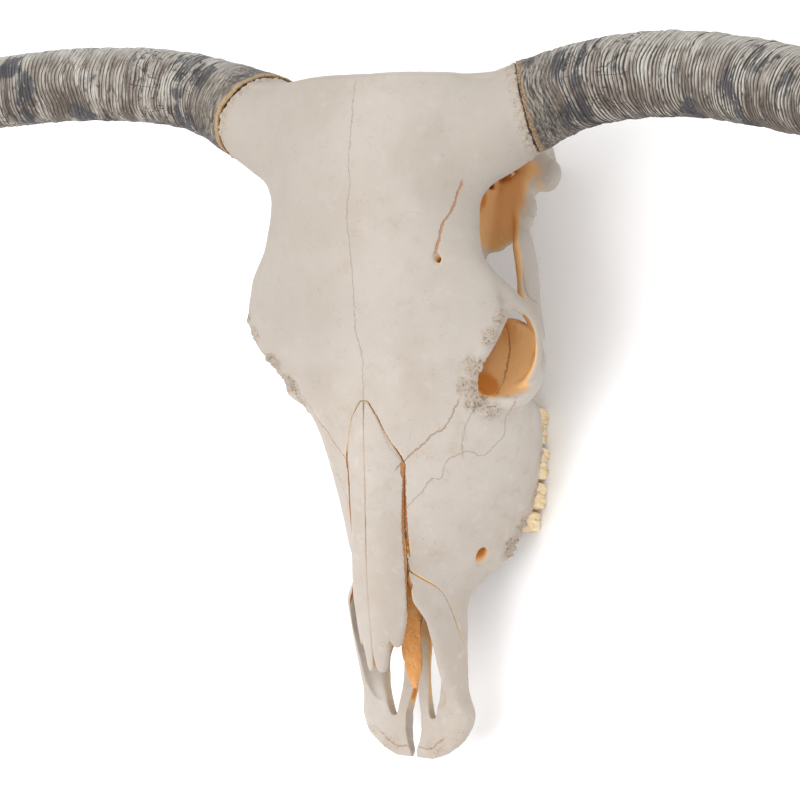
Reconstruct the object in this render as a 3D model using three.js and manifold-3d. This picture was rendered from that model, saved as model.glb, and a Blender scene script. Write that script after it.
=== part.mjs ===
// Cow skull with both horn sheaths, lying on its cheek teeth and jugular processes.
// Millimetres. +X is the skull's left, -Y the muzzle, +Z up, z = 0 the ground it rests on.
// Positions are given from the poll (y near 0) towards the muzzle; ORIGIN_Y centres them.
import * as THREE from 'three';
import { mergeVertices } from 'three/addons/utils/BufferGeometryUtils.js';
import ManifoldModule from 'manifold-3d';

const kit = await ManifoldModule();
kit.setup();
const { Manifold, Mesh: SolidMesh } = kit;

// ---------------------------------------------------------------- driving sizes
const ORIGIN_Y = 230.2;
const GAP = 0.3;
const SEAM = GAP / 2;
const SPAN_STEPS = 2;
const WELD = 1e-4;

// Skull from the poll to the muzzle. Half outline from the midline over the side to the base:
// crown, brow or nasal edge, temporal line or cheek, fossa wall or facial crest,
// flank or outer gum, lower flank or inner gum, palate, base.
const FORM = [
  { y: -2, crown: 183,
    half: [[38, 181], [66, 172], [74, 158], [56, 150], [36, 147], [16, 146]], base: 146 },
  { y: -8, crown: 196,
    half: [[50, 192], [86, 175], [86, 146], [64, 118], [44, 108], [20, 105]], base: 105 },
  { y: -25, crown: 198, half: [[60, 192.5], [97, 170], [86, 134], [64, 98], [48, 72], [24, 66]], base: 66 },
  { y: -60, crown: 197.5, half: [[62, 192], [95, 167], [72, 130], [62, 92], [48, 66], [24, 58]], base: 58 },
  { y: -97, crown: 194, half: [[58, 190], [90, 160], [63, 130], [58, 92], [46, 68], [22, 60]], base: 60 },
  { y: -125, crown: 187.5,
    half: [[60, 184], [94, 159], [60, 128], [52, 94], [42, 70], [20, 63]], base: 63 },
  { y: -150, crown: 179.5,
    half: [[64, 174], [106, 155], [57, 126], [48, 96], [38, 72], [18, 65]], base: 65 },
  { y: -176, crown: 171, half: [[64, 166], [112, 150], [55, 124], [46, 94], [36, 72], [17, 66]], base: 66 },
  { y: -196, crown: 164.5,
    half: [[54, 160], [104, 148], [58, 118], [50, 88], [38, 70], [18, 65]], base: 65 },
  { y: -212, crown: 159, half: [[42, 156], [91, 138], [84, 102], [64, 42], [48, 38], [30, 44]], base: 47 },
  { y: -230, crown: 153, half: [[30, 150], [77, 127], [90, 84], [71, 22], [46, 20], [36, 29]], base: 33 },
  { y: -258, crown: 147.5, half: [[25, 140], [61, 116], [85, 68], [74, 20], [46, 19], [35, 27]], base: 31 },
  { y: -288, crown: 142, half: [[24, 128], [53, 106], [80, 54], [73, 20], [46, 19], [34, 26]], base: 30 },
  { y: -340, crown: 132, half: [[24, 114], [42, 92], [58, 56], [59, 30], [44, 28], [28, 30]], base: 33 },
  { y: -360, crown: 124, half: [[24.5, 106], [39, 84], [45, 60], [44, 42], [36, 35], [20, 34]], base: 35 },
  { y: -376, crown: 106,
    half: [[28.5, 106], [38.5, 86], [42, 62], [38.5, 46], [30, 39], [16, 37]], base: 37 },
  { y: -394, crown: 94, half: [[34, 94], [40, 81], [42.5, 60], [39, 45.5], [29, 39], [14, 39]], base: 39 },
  { y: -420, crown: 78, half: [[36, 78], [41.2, 70], [43, 52], [40, 43], [30, 39], [12, 40.5]], base: 41 },
  { y: -438, crown: 67, half: [[36, 67], [42, 60.5], [44, 48], [42, 41.5], [31, 38], [12, 40]], base: 41 },
  { y: -459, crown: 51,
    half: [[24, 52], [41, 53], [48, 45.5], [48.5, 39.5], [36, 35.5], [14, 38]], base: 39 },
  { y: -475, crown: 48, half: [[18, 48], [34, 49], [43, 45.5], [43, 40], [29, 36], [12, 37]], base: 37.5 },
  { y: -487, crown: 46,
    half: [[10, 46], [21, 45.8], [29.5, 43.5], [29.5, 40.2], [19, 38], [8, 38]], base: 38 },
  { y: -493, crown: 44, half: [[6, 44], [12, 43.6], [16, 42.6], [16, 41], [10, 40], [5, 40]], base: 40 },
];

// Back of the skull: poll, brow, horn corner, waist, mastoid, lower mastoid, jugular root, base.
const NUCHAL = [
  { y: -1, crown: 176, half: [[36, 174], [60, 160], [56, 138], [66, 108], [70, 84], [44, 64]], base: 62 },
  { y: -9, crown: 190, half: [[52, 187], [88, 165], [76, 138], [92, 106], [94, 80], [62, 56]], base: 50 },
  { y: -34, crown: 190, half: [[56, 187], [94, 165], [74, 134], [93, 102], [96, 76], [64, 52]], base: 48 },
  { y: -54, crown: 188, half: [[56, 184], [86, 162], [66, 128], [78, 100], [84, 80], [50, 56]], base: 50 },
];

// Floor of the braincase, running forward to the choanae.
const BASILAR = [
  { y: -6, crown: 74, half: [[12, 72], [15, 62], [12, 55]], base: 54 },
  { y: -40, crown: 76, half: [[20, 74], [24, 60], [18, 47]], base: 48 },
  { y: -80, crown: 78, half: [[16, 76], [20, 62], [14, 53]], base: 53 },
  { y: -140, crown: 80, half: [[14, 78], [17, 66], [10, 58]], base: 58 },
  { y: -216, crown: 82, half: [[14, 80], [16, 70], [9, 62]], base: 62 },
];

// Hollow of the nose, open to the front and, through the choanae, to the back.
const NASAL_CAVITY = [
  { y: -204, crown: 58, half: [[10, 57], [17, 50], [18, 43], [10, 36]], base: 34 },
  { y: -236, crown: 66, half: [[12, 64], [19, 56], [20, 46], [12, 39]], base: 37 },
  { y: -268, crown: 100, half: [[9, 96], [18, 82], [20, 58], [12, 42]], base: 39 },
  { y: -306, crown: 124, half: [[14, 121], [22, 108], [33, 70], [22, 46]], base: 42 },
  { y: -340, crown: 134, half: [[20, 130], [23, 106], [34, 70], [24, 47]], base: 43 },
  { y: -360, crown: 140, half: [[22, 136], [22.5, 101], [33, 70], [26, 48]], base: 44 },
  { y: -376, crown: 140, half: [[27.5, 136], [27, 103], [31, 78], [26, 50]], base: 47 },
  { y: -394, crown: 140, half: [[34.2, 136], [33, 90], [29, 72], [25, 53.5]], base: 50.5 },
  { y: -420, crown: 140, half: [[34.8, 136], [33.5, 74], [28, 62], [22, 54]], base: 53 },
  { y: -438, crown: 140, half: [[35, 136], [33.5, 64], [27, 57], [20, 51.5]], base: 50.8 },
  { y: -450, crown: 140, half: [[34, 136], [32, 57], [24, 53.5], [12, 50.8]], base: 50.4 },
  { y: -466, crown: 140, half: [[24, 136], [18, 60], [12, 52], [6, 50.4]], base: 50.2 },
];

// One nasal bone: ridge height, width at the side, height at the side.
const NASAL = [
  { y: -237, ridge: 151.5, wide: 3, edge: 151.3 },
  { y: -248, ridge: 150.2, wide: 10.5, edge: 149.2 },
  { y: -262, ridge: 147.5, wide: 17, edge: 142.5 },
  { y: -279, ridge: 144, wide: 25, edge: 129.5 },
  { y: -300, ridge: 140, wide: 24, edge: 125 },
  { y: -322, ridge: 136, wide: 24, edge: 120 },
  { y: -345, ridge: 131.5, wide: 24.5, edge: 114.5 },
  { y: -370, ridge: 125.5, wide: 25, edge: 109 },
  { y: -396, ridge: 118, wide: 21, edge: 104 },
  { y: -406, ridge: 115.2, wide: 18.8, edge: 103 },
  { y: -413, ridge: 112.8, wide: 15.5, edge: 103 },
];
const NASAL_TIP = [
  { y: -410, ridge: 114, wide: 11, edge: 108.5 },
  { y: -424, ridge: 109.2, wide: 8.6, edge: 106 },
  { y: -431, ridge: 106.8, wide: 5.6, edge: 105 },
];
const NASAL_THICK = 4.5;
const NASAL_NOTCH = { x: 12.3, back: -406, front: -415, half: 2 };

// Maxilla-incisive joint: a plane leaning back over the muzzle.
const INCISIVE_JOINT = { y: -384, z: 76, rise: 0.887, run: 1 };
const MIDLINE_GAP = [
  { y: -504, half: 2.4 },
  { y: -488, half: 2.4 },
  { y: -481, half: 5.2 },
  { y: -472, half: 6.8 },
  { y: -460, half: 6 },
  { y: -450, half: 3.8 },
  { y: -440, half: 1.4 },
  { y: -400, half: SEAM },
];
const FISSURE = [
  { y: -401, x: 13, r: 2 },
  { y: -416, x: 17.5, r: 6 },
  { y: -438, x: 18.5, r: 6.5 },
  { y: -452, x: 18, r: 4.5 },
  { y: -462, x: 17.5, r: 1.5 },
];

// Hollow under the muzzle, and the palatine processes, which reach further back than the joint.
const UNDERCUT = [
  { at: [19, -398, 40], r: [12, 5] },
  { at: [19, -416, 39.5], r: [19, 8.2] },
  { at: [17, -438, 37], r: [19, 8.2] },
  { at: [15, -458, 34.5], r: [15, 6] },
];
const PALATINE_PROCESS = { side: 13, back: -384, front: -445, low: 20, high: 60 };

// Bony tubes and bosses on the left side: centre, half width, half height.
const PEDICLE = [
  { at: [70, -48, 156], r: [40, 22] },
  { at: [92, -38, 155], r: [37, 30] },
];
const LEFT_EDGE = { at: [116.5, -19, 152], along: [0.87, 0.31, -0.38] };
const RIGHT_EDGE = { at: [121, -22.8, 170.4], along: [0.82, 0.5, -0.28] };
const HORN_CORE = [
  { at: [86, -36, 153], r: 26.5 },
  { at: [110, -28, 152.6], r: 26.5 },
  { at: [126, -22.2, 152.4], r: 26.5 },
  { at: [150, -14.6, 153.3], r: 24.5 },
];
const ORBIT_RIM = [
  { at: [112, -163.5, 141], r: [5.8, 6.2] },
  { at: [100, -190.5, 147], r: [6.2, 6.2] },
  { at: [80, -218, 136], r: [6, 6] },
  { at: [76, -229, 119], r: [5.5, 5.5] },
  { at: [79, -229, 104], r: [5, 5.5] },
  { at: [90, -222.5, 95], r: [4.2, 5] },
  { at: [102, -215.3, 96.5], r: [3.4, 4.5] },
  { at: [113.4, -203.5, 102.5], r: [2.9, 4] },
  { at: [119, -190.5, 109.5], r: [2.7, 4] },
  { at: [121.7, -178.5, 117.5], r: [2.9, 4.6] },
  { at: [119.2, -168, 127], r: [3.9, 5.5] },
];
const ORBIT_HOLLOW = [
  { at: [136, -203, 127], r: [36, 33] },
  { at: [106, -199, 124], r: [34, 29.5] },
  { at: [86, -193, 121], r: [32, 27] },
  { at: [62, -178, 112], r: [19, 17] },
  { at: [46, -168, 106], r: [8, 8] },
];
const BROW_PROCESS = [
  { at: [84, -142, 158], r: [12, 7] },
  { at: [94, -148, 153.5], r: [11, 7.5] },
  { at: [104, -155, 146], r: [9, 7.5] },
  { at: [112, -160.5, 138], r: [7, 7] },
  { at: [117, -165, 130], r: [5, 6] },
];
const CHEEK_ARCH = [
  { at: [112, -180, 104], r: [5, 10] },
  { at: [102, -156, 100], r: [6, 11] },
  { at: [97, -134, 98], r: [6, 11] },
  { at: [91, -114, 97], r: [6, 11] },
  { at: [83, -96, 92], r: [5.5, 9] },
  { at: [79, -78, 88], r: [6.5, 8] },
  { at: [88, -57, 86], r: [14, 11.5] },
  { at: [74, -40, 84], r: [14, 14] },
];
const FOSSA_BOWL = { at: [74, -84, 119], r: [27, 36, 24] };
const CHEEK_ROOT = { at: [99, -60, 86], r: [11.5, 13, 9] };
const GLENOID_SHELF = [
  { at: [44, -82, 82], r: [36, 14] },
  { at: [62, -82, 84], r: [34, 11] },
  { at: [74, -80, 88], r: [26, 9] },
  { at: [84, -68, 91], r: [12, 8.5] },
];
const ORBIT_CUP = { at: [86, -202, 98], r: [29, 34, 24] };
const TEAR_BULLA = { at: [68, -206, 84], r: [18, 26, 18] };
const JUGULAR = [
  { at: [66, -24, 66], r: [12, 13] },
  { at: [63, -29, 40], r: [6, 13] },
  { at: [58, -35, 16], r: [4.5, 9] },
  { at: [55, -38, 0], r: [3, 4.5] },
];
const CONDYLE = { at: [30, -10, 74], r: [20, 15, 25] };
const FORAMEN_MAGNUM = [
  { at: [0, 22, 88], r: [20, 17.5] },
  { at: [0, -12, 90], r: [19.5, 17.5] },
  { at: [0, -34, 94], r: [21, 18] },
  { at: [0, -52, 98], r: [12, 11] },
];
const BULLA = { at: [42, -62, 46], r: [12, 17, 15] };
const PTERYGOID = [
  { y: -160, x: 22, low: 30, high: 68, half: 1.6 },
  { y: -172, x: 24, low: 19, high: 70, half: 2.2 },
  { y: -196, x: 25, low: 24, high: 70, half: 2.4 },
  { y: -222, x: 28, low: 28, high: 60, half: 3 },
];
const VOMER = [
  { y: -150, x: 0, low: 54, high: 70, half: 1.8 },
  { y: -200, x: 0, low: 46, high: 72, half: 1.8 },
  { y: -262, x: 0, low: 34, high: 70, half: 1.8 },
];

// Cheek teeth still in the left row: front to back place, width, length, outer edge of the crown.
const TEETH = [
  { y: -309.5, long: 15.5, outer: 68.5, wide: 19 },
  { y: -290, long: 21, outer: 71.5, wide: 22 },
  { y: -265.5, long: 25.5, outer: 71, wide: 22.5 },
  { y: -237, long: 28.5, outer: 67.5, wide: 21 },
];
const TOOTH_TOP = 30;
const TOOTH_NECK = 16;

// Horn sheaths: centre line and radius. They rise and sweep forward past the first third.
const HORN_LEFT = [
  [84, -33, 152, 33.2], [100, -30, 152, 33.6], [118, -25, 152.2, 33.2], [136, -18.8, 152.8, 31.3],
  [160, -12, 154, 29.8], [200, -7.5, 158, 29.3], [250, -9.5, 166, 29], [300, -18.5, 178, 28.6],
  [345, -30.5, 193, 28], [388, -45, 213, 26.2], [428, -66, 240, 22.8], [462, -94, 271, 18.2],
  [486, -127, 303, 13], [500, -162, 331, 7.8], [507, -190, 350, 3.6], [509, -200, 356.5, 1.6],
];
const HORN_RIGHT = [
  [84, -33, 152, 36], [100, -30.5, 152, 36.5], [118, -25, 152.2, 35.8], [136, -17.4, 152.8, 33.6],
  [160, -8.2, 154, 30.4], [200, 1, 158, 29], [250, 4, 166, 28.6], [300, 2, 178, 28.2],
  [345, -5, 193, 27.6], [388, -17, 213, 26], [428, -37, 240, 22.8], [462, -66, 271, 18.2],
  [486, -101, 303, 13], [500, -138, 331, 7.8], [507, -167, 350, 3.6], [509, -178, 356.5, 1.6],
];
const PEDICLE_INSET = 1.1;
const COVERED_STATIONS = [2, 4];
const HORN_SIDES = 14;
const HORN_STEPS = 20;

// ---------------------------------------------------------------- finishes
const BONE = new THREE.MeshStandardMaterial({ name: 'bone', color: 0xe0d5c1, roughness: 0.78, metalness: 0 });
const HORN = new THREE.MeshStandardMaterial({ name: 'horn', color: 0x9a9385, roughness: 0.6, metalness: 0 });

// ---------------------------------------------------------------- making solids
function signedVolume(points, triangles) {
  let sum = 0;
  for (const [a, b, c] of triangles) {
    sum += points[a].dot(new THREE.Vector3().crossVectors(points[b], points[c]));
  }
  return sum / 6;
}

// Skins a stack of closed rings, each with the same number of points, and closes both ends.
function skin(rings) {
  const count = rings[0].length;
  const points = rings.flat();
  const triangles = [];
  for (let row = 0; row + 1 < rings.length; row += 1) {
    for (let i = 0; i < count; i += 1) {
      const a = row * count + i;
      const b = row * count + ((i + 1) % count);
      triangles.push([a, b, b + count], [a, b + count, a + count]);
    }
  }
  const ends = [[0, false], [rings.length - 1, true]];
  for (const [row, last] of ends) {
    const centre = new THREE.Vector3();
    rings[row].forEach((p) => centre.addScaledVector(p, 1 / count));
    const hub = points.push(centre) - 1;
    for (let i = 0; i < count; i += 1) {
      const a = row * count + i;
      const b = row * count + ((i + 1) % count);
      triangles.push(last ? [hub, a, b] : [hub, b, a]);
    }
  }
  const outward = signedVolume(points, triangles) > 0;
  const order = triangles.flatMap(([a, b, c]) => (outward ? [a, b, c] : [a, c, b]));
  const geometry = new THREE.BufferGeometry().setFromPoints(points);
  geometry.setIndex(order);
  return solidFrom(geometry);
}

function solidFrom(geometry) {
  geometry.deleteAttribute('normal');
  geometry.deleteAttribute('uv');
  const welded = mergeVertices(geometry, WELD);
  const mesh = new SolidMesh({
    numProp: 3,
    vertProperties: new Float32Array(welded.attributes.position.array),
    triVerts: new Uint32Array(welded.index.array),
  });
  mesh.merge();
  return new Manifold(mesh);
}

// A closed outline in an XZ plane, mirrored about the midline, through a station's half outline.
function halfRing({ y, crown, half, base }, steps) {
  const left = half.map(([x, z]) => new THREE.Vector3(x, y, z));
  const right = half.map(([x, z]) => new THREE.Vector3(-x, y, z)).reverse();
  const top = new THREE.Vector3(0, y, crown);
  const bottom = new THREE.Vector3(0, y, base);
  return smoothRing([top, ...left, bottom, ...right], steps);
}

function smoothRing(control, steps) {
  const curve = new THREE.CatmullRomCurve3(control, true, 'centripetal');
  const count = control.length * steps;
  return Array.from({ length: count }, (_, i) => curve.getPoint(i / count));
}

const symmetricLoft = (stations, steps = SPAN_STEPS) => skin(stations.map((s) => halfRing(s, steps)));

// Elliptical rings square to a path; `up` fixes which way the second radius points.
function sweptRings(stations, { sides, closed = false, up = new THREE.Vector3(0, 0, 1) }) {
  const path = new THREE.CatmullRomCurve3(stations.map((s) => new THREE.Vector3(...s.at)), closed);
  const spans = closed ? stations.length : stations.length - 1;
  return stations.map((station, row) => {
    const [across, high] = [station.r].flat().concat(station.r);
    const along = path.getTangent(row / spans);
    const side = new THREE.Vector3().crossVectors(along, up).normalize();
    const lift = new THREE.Vector3().crossVectors(side, along);
    const centre = new THREE.Vector3(...station.at);
    return Array.from({ length: sides }, (_, i) => {
      const turn = (2 * Math.PI * i) / sides;
      return centre.clone()
        .addScaledVector(side, across * Math.cos(turn))
        .addScaledVector(lift, high * Math.sin(turn));
    });
  });
}

const sweep = (stations, options) => skin(sweptRings(stations, options));

// A closed loop of tube, such as the rim of an orbit.
function loopTube(stations, options) {
  const rings = sweptRings(stations, { ...options, closed: true });
  const next = (i) => rings[(i + 1) % rings.length];
  return Manifold.union(rings.map((ring, i) => Manifold.hull([...ring, ...next(i)].map(asTriple))));
}

const asTriple = (p) => [p.x, p.y, p.z];

function ellipsoid({ at, r }, sides = 10) {
  const ball = new THREE.SphereGeometry(1, sides, Math.ceil(sides / 2));
  ball.scale(...r);
  ball.translate(...at);
  return solidFrom(ball);
}

// An upright plate that follows the length of the skull.
function fin(stations) {
  return skin(stations.map(({ y, x, low, high, half }) => [
    new THREE.Vector3(x - half, y, low + half),
    new THREE.Vector3(x, y, low),
    new THREE.Vector3(x + half, y, low + half),
    new THREE.Vector3(x + half, y, high),
    new THREE.Vector3(x - half, y, high),
  ]));
}

const mirrored = (solid) => solid.mirror([1, 0, 0]);
const bothSides = (solid) => Manifold.union([solid, mirrored(solid)]);

// ---------------------------------------------------------------- nose and muzzle
// Curved plate of one nasal bone, from the midline seam out to its edge.
function nasalRing({ y, ridge, wide, edge }, { inner, grow, lift, drop }) {
  const columns = 2;
  const reach = wide + grow;
  const height = (x) => ridge - (ridge - edge) * (x / wide) ** 2;
  const span = Array.from({ length: columns + 1 }, (_, i) => inner + ((reach - inner) * i) / columns);
  const above = span.map((x) => new THREE.Vector3(x, y, height(x) + lift));
  const below = span.map((x) => new THREE.Vector3(x, y, height(x) - NASAL_THICK - drop)).reverse();
  return [...above, ...below];
}

function nasalPlate(stations, fit) {
  return skin(stations.map((s) => nasalRing(s, fit)));
}

function nasalNotch() {
  const { x, back, front, half } = NASAL_NOTCH;
  const low = 90;
  const high = 125;
  const rim = [[x, back], [x - half, front], [x + half, front]];
  return skin([low, high].map((z) => rim.map(([px, py]) => new THREE.Vector3(px, py, z))));
}

function nasalBone() {
  const fit = { inner: SEAM, grow: 0, lift: 0, drop: 0 };
  const plate = nasalPlate(NASAL, fit).subtract(nasalNotch());
  return Manifold.union([plate, nasalPlate(NASAL_TIP, fit)]);
}

// Everything that the nasal bones take up, with a hair of clearance, open above.
function nasalBed() {
  const ahead = { ...NASAL[NASAL.length - 1], y: -470 };
  const behind = { ...NASAL[0], y: NASAL[0].y + GAP };
  const bed = nasalPlate([behind, ...NASAL.slice(1), ahead], { inner: -1, grow: GAP, lift: 40, drop: GAP });
  return bothSides(bed);
}

function midlineGap() {
  const high = 200;
  const low = 20;
  const left = MIDLINE_GAP.map((s) => new THREE.Vector2(s.half, s.y));
  const right = MIDLINE_GAP.map((s) => new THREE.Vector2(-s.half, s.y)).reverse();
  const shape = new THREE.Shape([...left, ...right]);
  const slab = new THREE.ExtrudeGeometry(shape, { depth: high - low, bevelEnabled: false });
  slab.translate(0, 0, low);
  return solidFrom(slab);
}

function palatineFissure() {
  const low = 20;
  const high = 70;
  const left = FISSURE.map((s) => [s.x - s.r, s.y]);
  const right = FISSURE.map((s) => [s.x + s.r, s.y]).reverse();
  const shape = new THREE.Shape([...left, ...right].map(([x, y]) => new THREE.Vector2(x, y)));
  const slab = new THREE.ExtrudeGeometry(shape, { depth: high - low, bevelEnabled: false });
  slab.translate(0, 0, low);
  return solidFrom(slab);
}

function hollowForm() {
  const below = sweep(UNDERCUT, { sides: 8 });
  const cuts = [symmetricLoft(NASAL_CAVITY, 1), nasalBed(), bothSides(palatineFissure()), bothSides(below)];
  return symmetricLoft(FORM).subtract(Manifold.union(cuts));
}

// Cuts at the maxilla-incisive joint and keeps the part ahead of it or behind it.
function atJoint(solid, ahead) {
  const { y, z, rise, run } = INCISIVE_JOINT;
  const normal = new THREE.Vector3(0, -rise, run).normalize();
  const offset = normal.dot(new THREE.Vector3(0, y, z));
  const sign = ahead ? 1 : -1;
  return solid.trimByPlane(normal.clone().multiplyScalar(sign).toArray(), sign * offset + SEAM);
}

// Room of the two palatine processes, larger all round by a margin.
function processRoom(margin) {
  const { side, back, front, low, high } = PALATINE_PROCESS;
  const size = [2 * (side + margin), back - front + 2 * margin, high - low + 2 * margin];
  return Manifold.cube(size, true).translate([0, (back + front) / 2, (low + high) / 2]);
}

function incisive(form) {
  const process = form.intersect(processRoom(-SEAM));
  const half = atJoint(form, true).add(process).subtract(midlineGap()).trimByPlane([1, 0, 0], 0);
  return largest(half);
}

function largest(solid) {
  const bodies = solid.decompose();
  return bodies.reduce((best, body) => (body.volume() > best.volume() ? body : best));
}

// ---------------------------------------------------------------- teeth and skull
function tooth({ y, long, outer, wide }) {
  const centre = outer - wide / 2;
  const outline = (z, shrink) => {
    const a = wide / 2 - shrink;
    const b = long / 2 - shrink / 2;
    const rim = [[a, 0.55 * b], [a - 2.5, 0], [a, -0.55 * b], [0.6 * a, -b], [-0.8 * a, -0.8 * b],
      [-a, 0], [-0.8 * a, 0.8 * b], [0.6 * a, b]];
    return rim.map(([dx, dy]) => new THREE.Vector3(centre + dx, y + dy, z));
  };
  const bite = 0;
  const levels = [[bite, 1.2], [bite + 2.5, 0], [TOOTH_NECK, 0.8], [TOOTH_TOP, 1.5]];
  return skin(levels.map(([z, shrink]) => outline(z, shrink)));
}

// Pedicle of one horn, running into the line of the horn and cut at the edge of the sheath.
function pedicle(line, edge) {
  const [from, to] = COVERED_STATIONS;
  const covered = line.slice(from, to).map(([x, y, z, r]) => ({ at: [x, y, z], r: r - PEDICLE_INSET }));
  return atSheathEdge(sweep([...PEDICLE, ...covered], { sides: HORN_SIDES }), edge, false);
}

function skullBody(form) {
  const forward = new THREE.Vector3(0, -1, 0);
  const upward = new THREE.Vector3(0, 0, 1);
  const left = Manifold.union([
    sweep(GLENOID_SHELF, { sides: 8 }),
    ellipsoid(ORBIT_CUP),
    sweep(CHEEK_ARCH, { sides: 6 }),
    ellipsoid(CHEEK_ROOT),
    sweep(JUGULAR, { sides: 6, up: forward }),
    ellipsoid(BULLA),
    fin(PTERYGOID),
    ...TEETH.map(tooth),
  ]);
  const core = sweep(HORN_CORE, { sides: HORN_SIDES });
  const rim = loopTube(ORBIT_RIM, { sides: 6 });
  const shell = Manifold.union([
    symmetricLoft(NUCHAL),
    symmetricLoft(BASILAR),
    atJoint(form, false).subtract(processRoom(SEAM)),
    fin(VOMER),
    bothSides(left),
    pedicle(HORN_LEFT, LEFT_EDGE),
    mirrored(pedicle(HORN_RIGHT, RIGHT_EDGE)),
  ]);
  const hollows = [sweep(ORBIT_HOLLOW, { sides: 10, up: upward }), ellipsoid(FOSSA_BOWL)];
  const bedded = shell.subtract(bothSides(Manifold.union(hollows)));
  const brow = sweep(BROW_PROCESS, { sides: 8 });
  const bosses = bothSides(Manifold.union([rim, brow, core, ellipsoid(CONDYLE), ellipsoid(TEAR_BULLA)]));
  const whole = Manifold.union([bedded, bosses]);
  const canal = sweep(FORAMEN_MAGNUM, { sides: 12, up: upward });
  return largest(whole.subtract(Manifold.union([canal, nasalBed()])).trimByPlane(upward.toArray(), 0));
}

// ---------------------------------------------------------------- horns
// Cuts at the open edge of a sheath and keeps the horn's side or the skull's side.
function atSheathEdge(solid, edge, hornSide) {
  const normal = new THREE.Vector3(...edge.along).normalize();
  const offset = normal.dot(new THREE.Vector3(...edge.at));
  const sign = hornSide ? 1 : -1;
  return solid.trimByPlane(normal.clone().multiplyScalar(sign).toArray(), sign * offset + SEAM);
}

function hornSheath(line, edge, mirror) {
  const curve = new THREE.CatmullRomCurve3(line.map(([x, y, z]) => new THREE.Vector3(x, y, z)));
  const radii = new THREE.CatmullRomCurve3(line.map((s, i) => new THREE.Vector3(i, s[3], 0)));
  const stations = Array.from({ length: HORN_STEPS + 1 }, (_, i) => {
    const t = i / HORN_STEPS;
    return { at: curve.getPoint(t).toArray(), r: radii.getPoint(t).y };
  });
  const socket = HORN_CORE.map(({ at, r }) => ({ at, r: r + 2 * GAP }));
  const end = socket[socket.length - 1];
  const deep = { at: end.at.map((value, axis) => value + [2, 0.6, 0.1][axis]), r: end.r };
  const hollow = sweep([...socket, deep], { sides: HORN_SIDES });
  const sheath = atSheathEdge(sweep(stations, { sides: HORN_SIDES }).subtract(hollow), edge, true);
  return mirror ? mirrored(sheath) : sheath;
}

// ---------------------------------------------------------------- the part
function meshOf(name, solid, material) {
  const { numProp, vertProperties, triVerts } = solid.getMesh();
  const position = new Float32Array((vertProperties.length / numProp) * 3);
  for (let i = 0; i * numProp < vertProperties.length; i += 1) {
    position.set(vertProperties.subarray(i * numProp, i * numProp + 3), i * 3);
  }
  const geometry = new THREE.BufferGeometry();
  geometry.setAttribute('position', new THREE.BufferAttribute(position, 3));
  geometry.setIndex(new THREE.BufferAttribute(new Uint32Array(triVerts), 1));
  geometry.translate(0, ORIGIN_Y, 0);
  geometry.computeVertexNormals();
  const mesh = new THREE.Mesh(geometry, material);
  mesh.name = name;
  return mesh;
}

const form = hollowForm();
const cranium = skullBody(form);
const nasal = nasalBone();
const muzzle = incisive(form);

const part = new THREE.Group();
part.name = 'cow_skull';
part.add(
  meshOf('cranium', cranium, BONE),
  meshOf('nasal_left', nasal, BONE),
  meshOf('nasal_right', mirrored(nasal), BONE),
  meshOf('incisive_left', muzzle, BONE),
  meshOf('incisive_right', mirrored(muzzle), BONE),
  meshOf('horn_left', hornSheath(HORN_LEFT, LEFT_EDGE, false), HORN),
  meshOf('horn_right', hornSheath(HORN_RIGHT, RIGHT_EDGE, true), HORN),
);

export default part;
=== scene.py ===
"""Cow skull with horn sheaths: sculpted bones, grown horns, finishes, light and camera.

Sizes are in millimetres, named from the poll (y near 0) to the muzzle (y near -493), with +X the
skull's left and z = 0 the ground. They become metres, and shift along Y, when a mesh is made.
"""
import logging
import math
from dataclasses import dataclass, field
from enum import Enum
from typing import Optional, Sequence, Union

import bpy
import numpy as np
from mathutils import Matrix, Vector


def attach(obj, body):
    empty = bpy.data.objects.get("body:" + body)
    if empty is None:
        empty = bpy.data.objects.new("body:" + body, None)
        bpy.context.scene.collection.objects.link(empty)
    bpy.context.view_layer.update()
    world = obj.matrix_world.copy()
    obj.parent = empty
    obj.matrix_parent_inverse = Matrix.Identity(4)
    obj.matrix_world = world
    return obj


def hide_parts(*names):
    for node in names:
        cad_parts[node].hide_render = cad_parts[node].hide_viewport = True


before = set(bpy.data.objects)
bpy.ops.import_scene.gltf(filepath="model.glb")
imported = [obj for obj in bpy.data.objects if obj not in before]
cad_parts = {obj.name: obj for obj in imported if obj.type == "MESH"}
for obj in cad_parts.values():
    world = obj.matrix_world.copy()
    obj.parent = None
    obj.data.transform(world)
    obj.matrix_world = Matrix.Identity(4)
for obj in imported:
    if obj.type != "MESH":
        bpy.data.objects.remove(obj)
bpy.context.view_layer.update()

log = logging.getLogger("skull")

# How far the frame's origin lies from the poll, toward the muzzle.
SHIFT_Y = 230.2
# A millimetre, in metres.
MILLIMETRE = 0.001
# The distance that an empty block gives everywhere.
FAR = 60.0
# Clear space between one piece and the next.
GAP = 0.3
# Spacing of the grid that the cranium is sculpted on, coarser for a trial.
STEP = 1.2

Array = np.ndarray
Point = tuple[float, float, float]
Pair = tuple[float, float]
Material = bpy.types.Material


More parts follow.
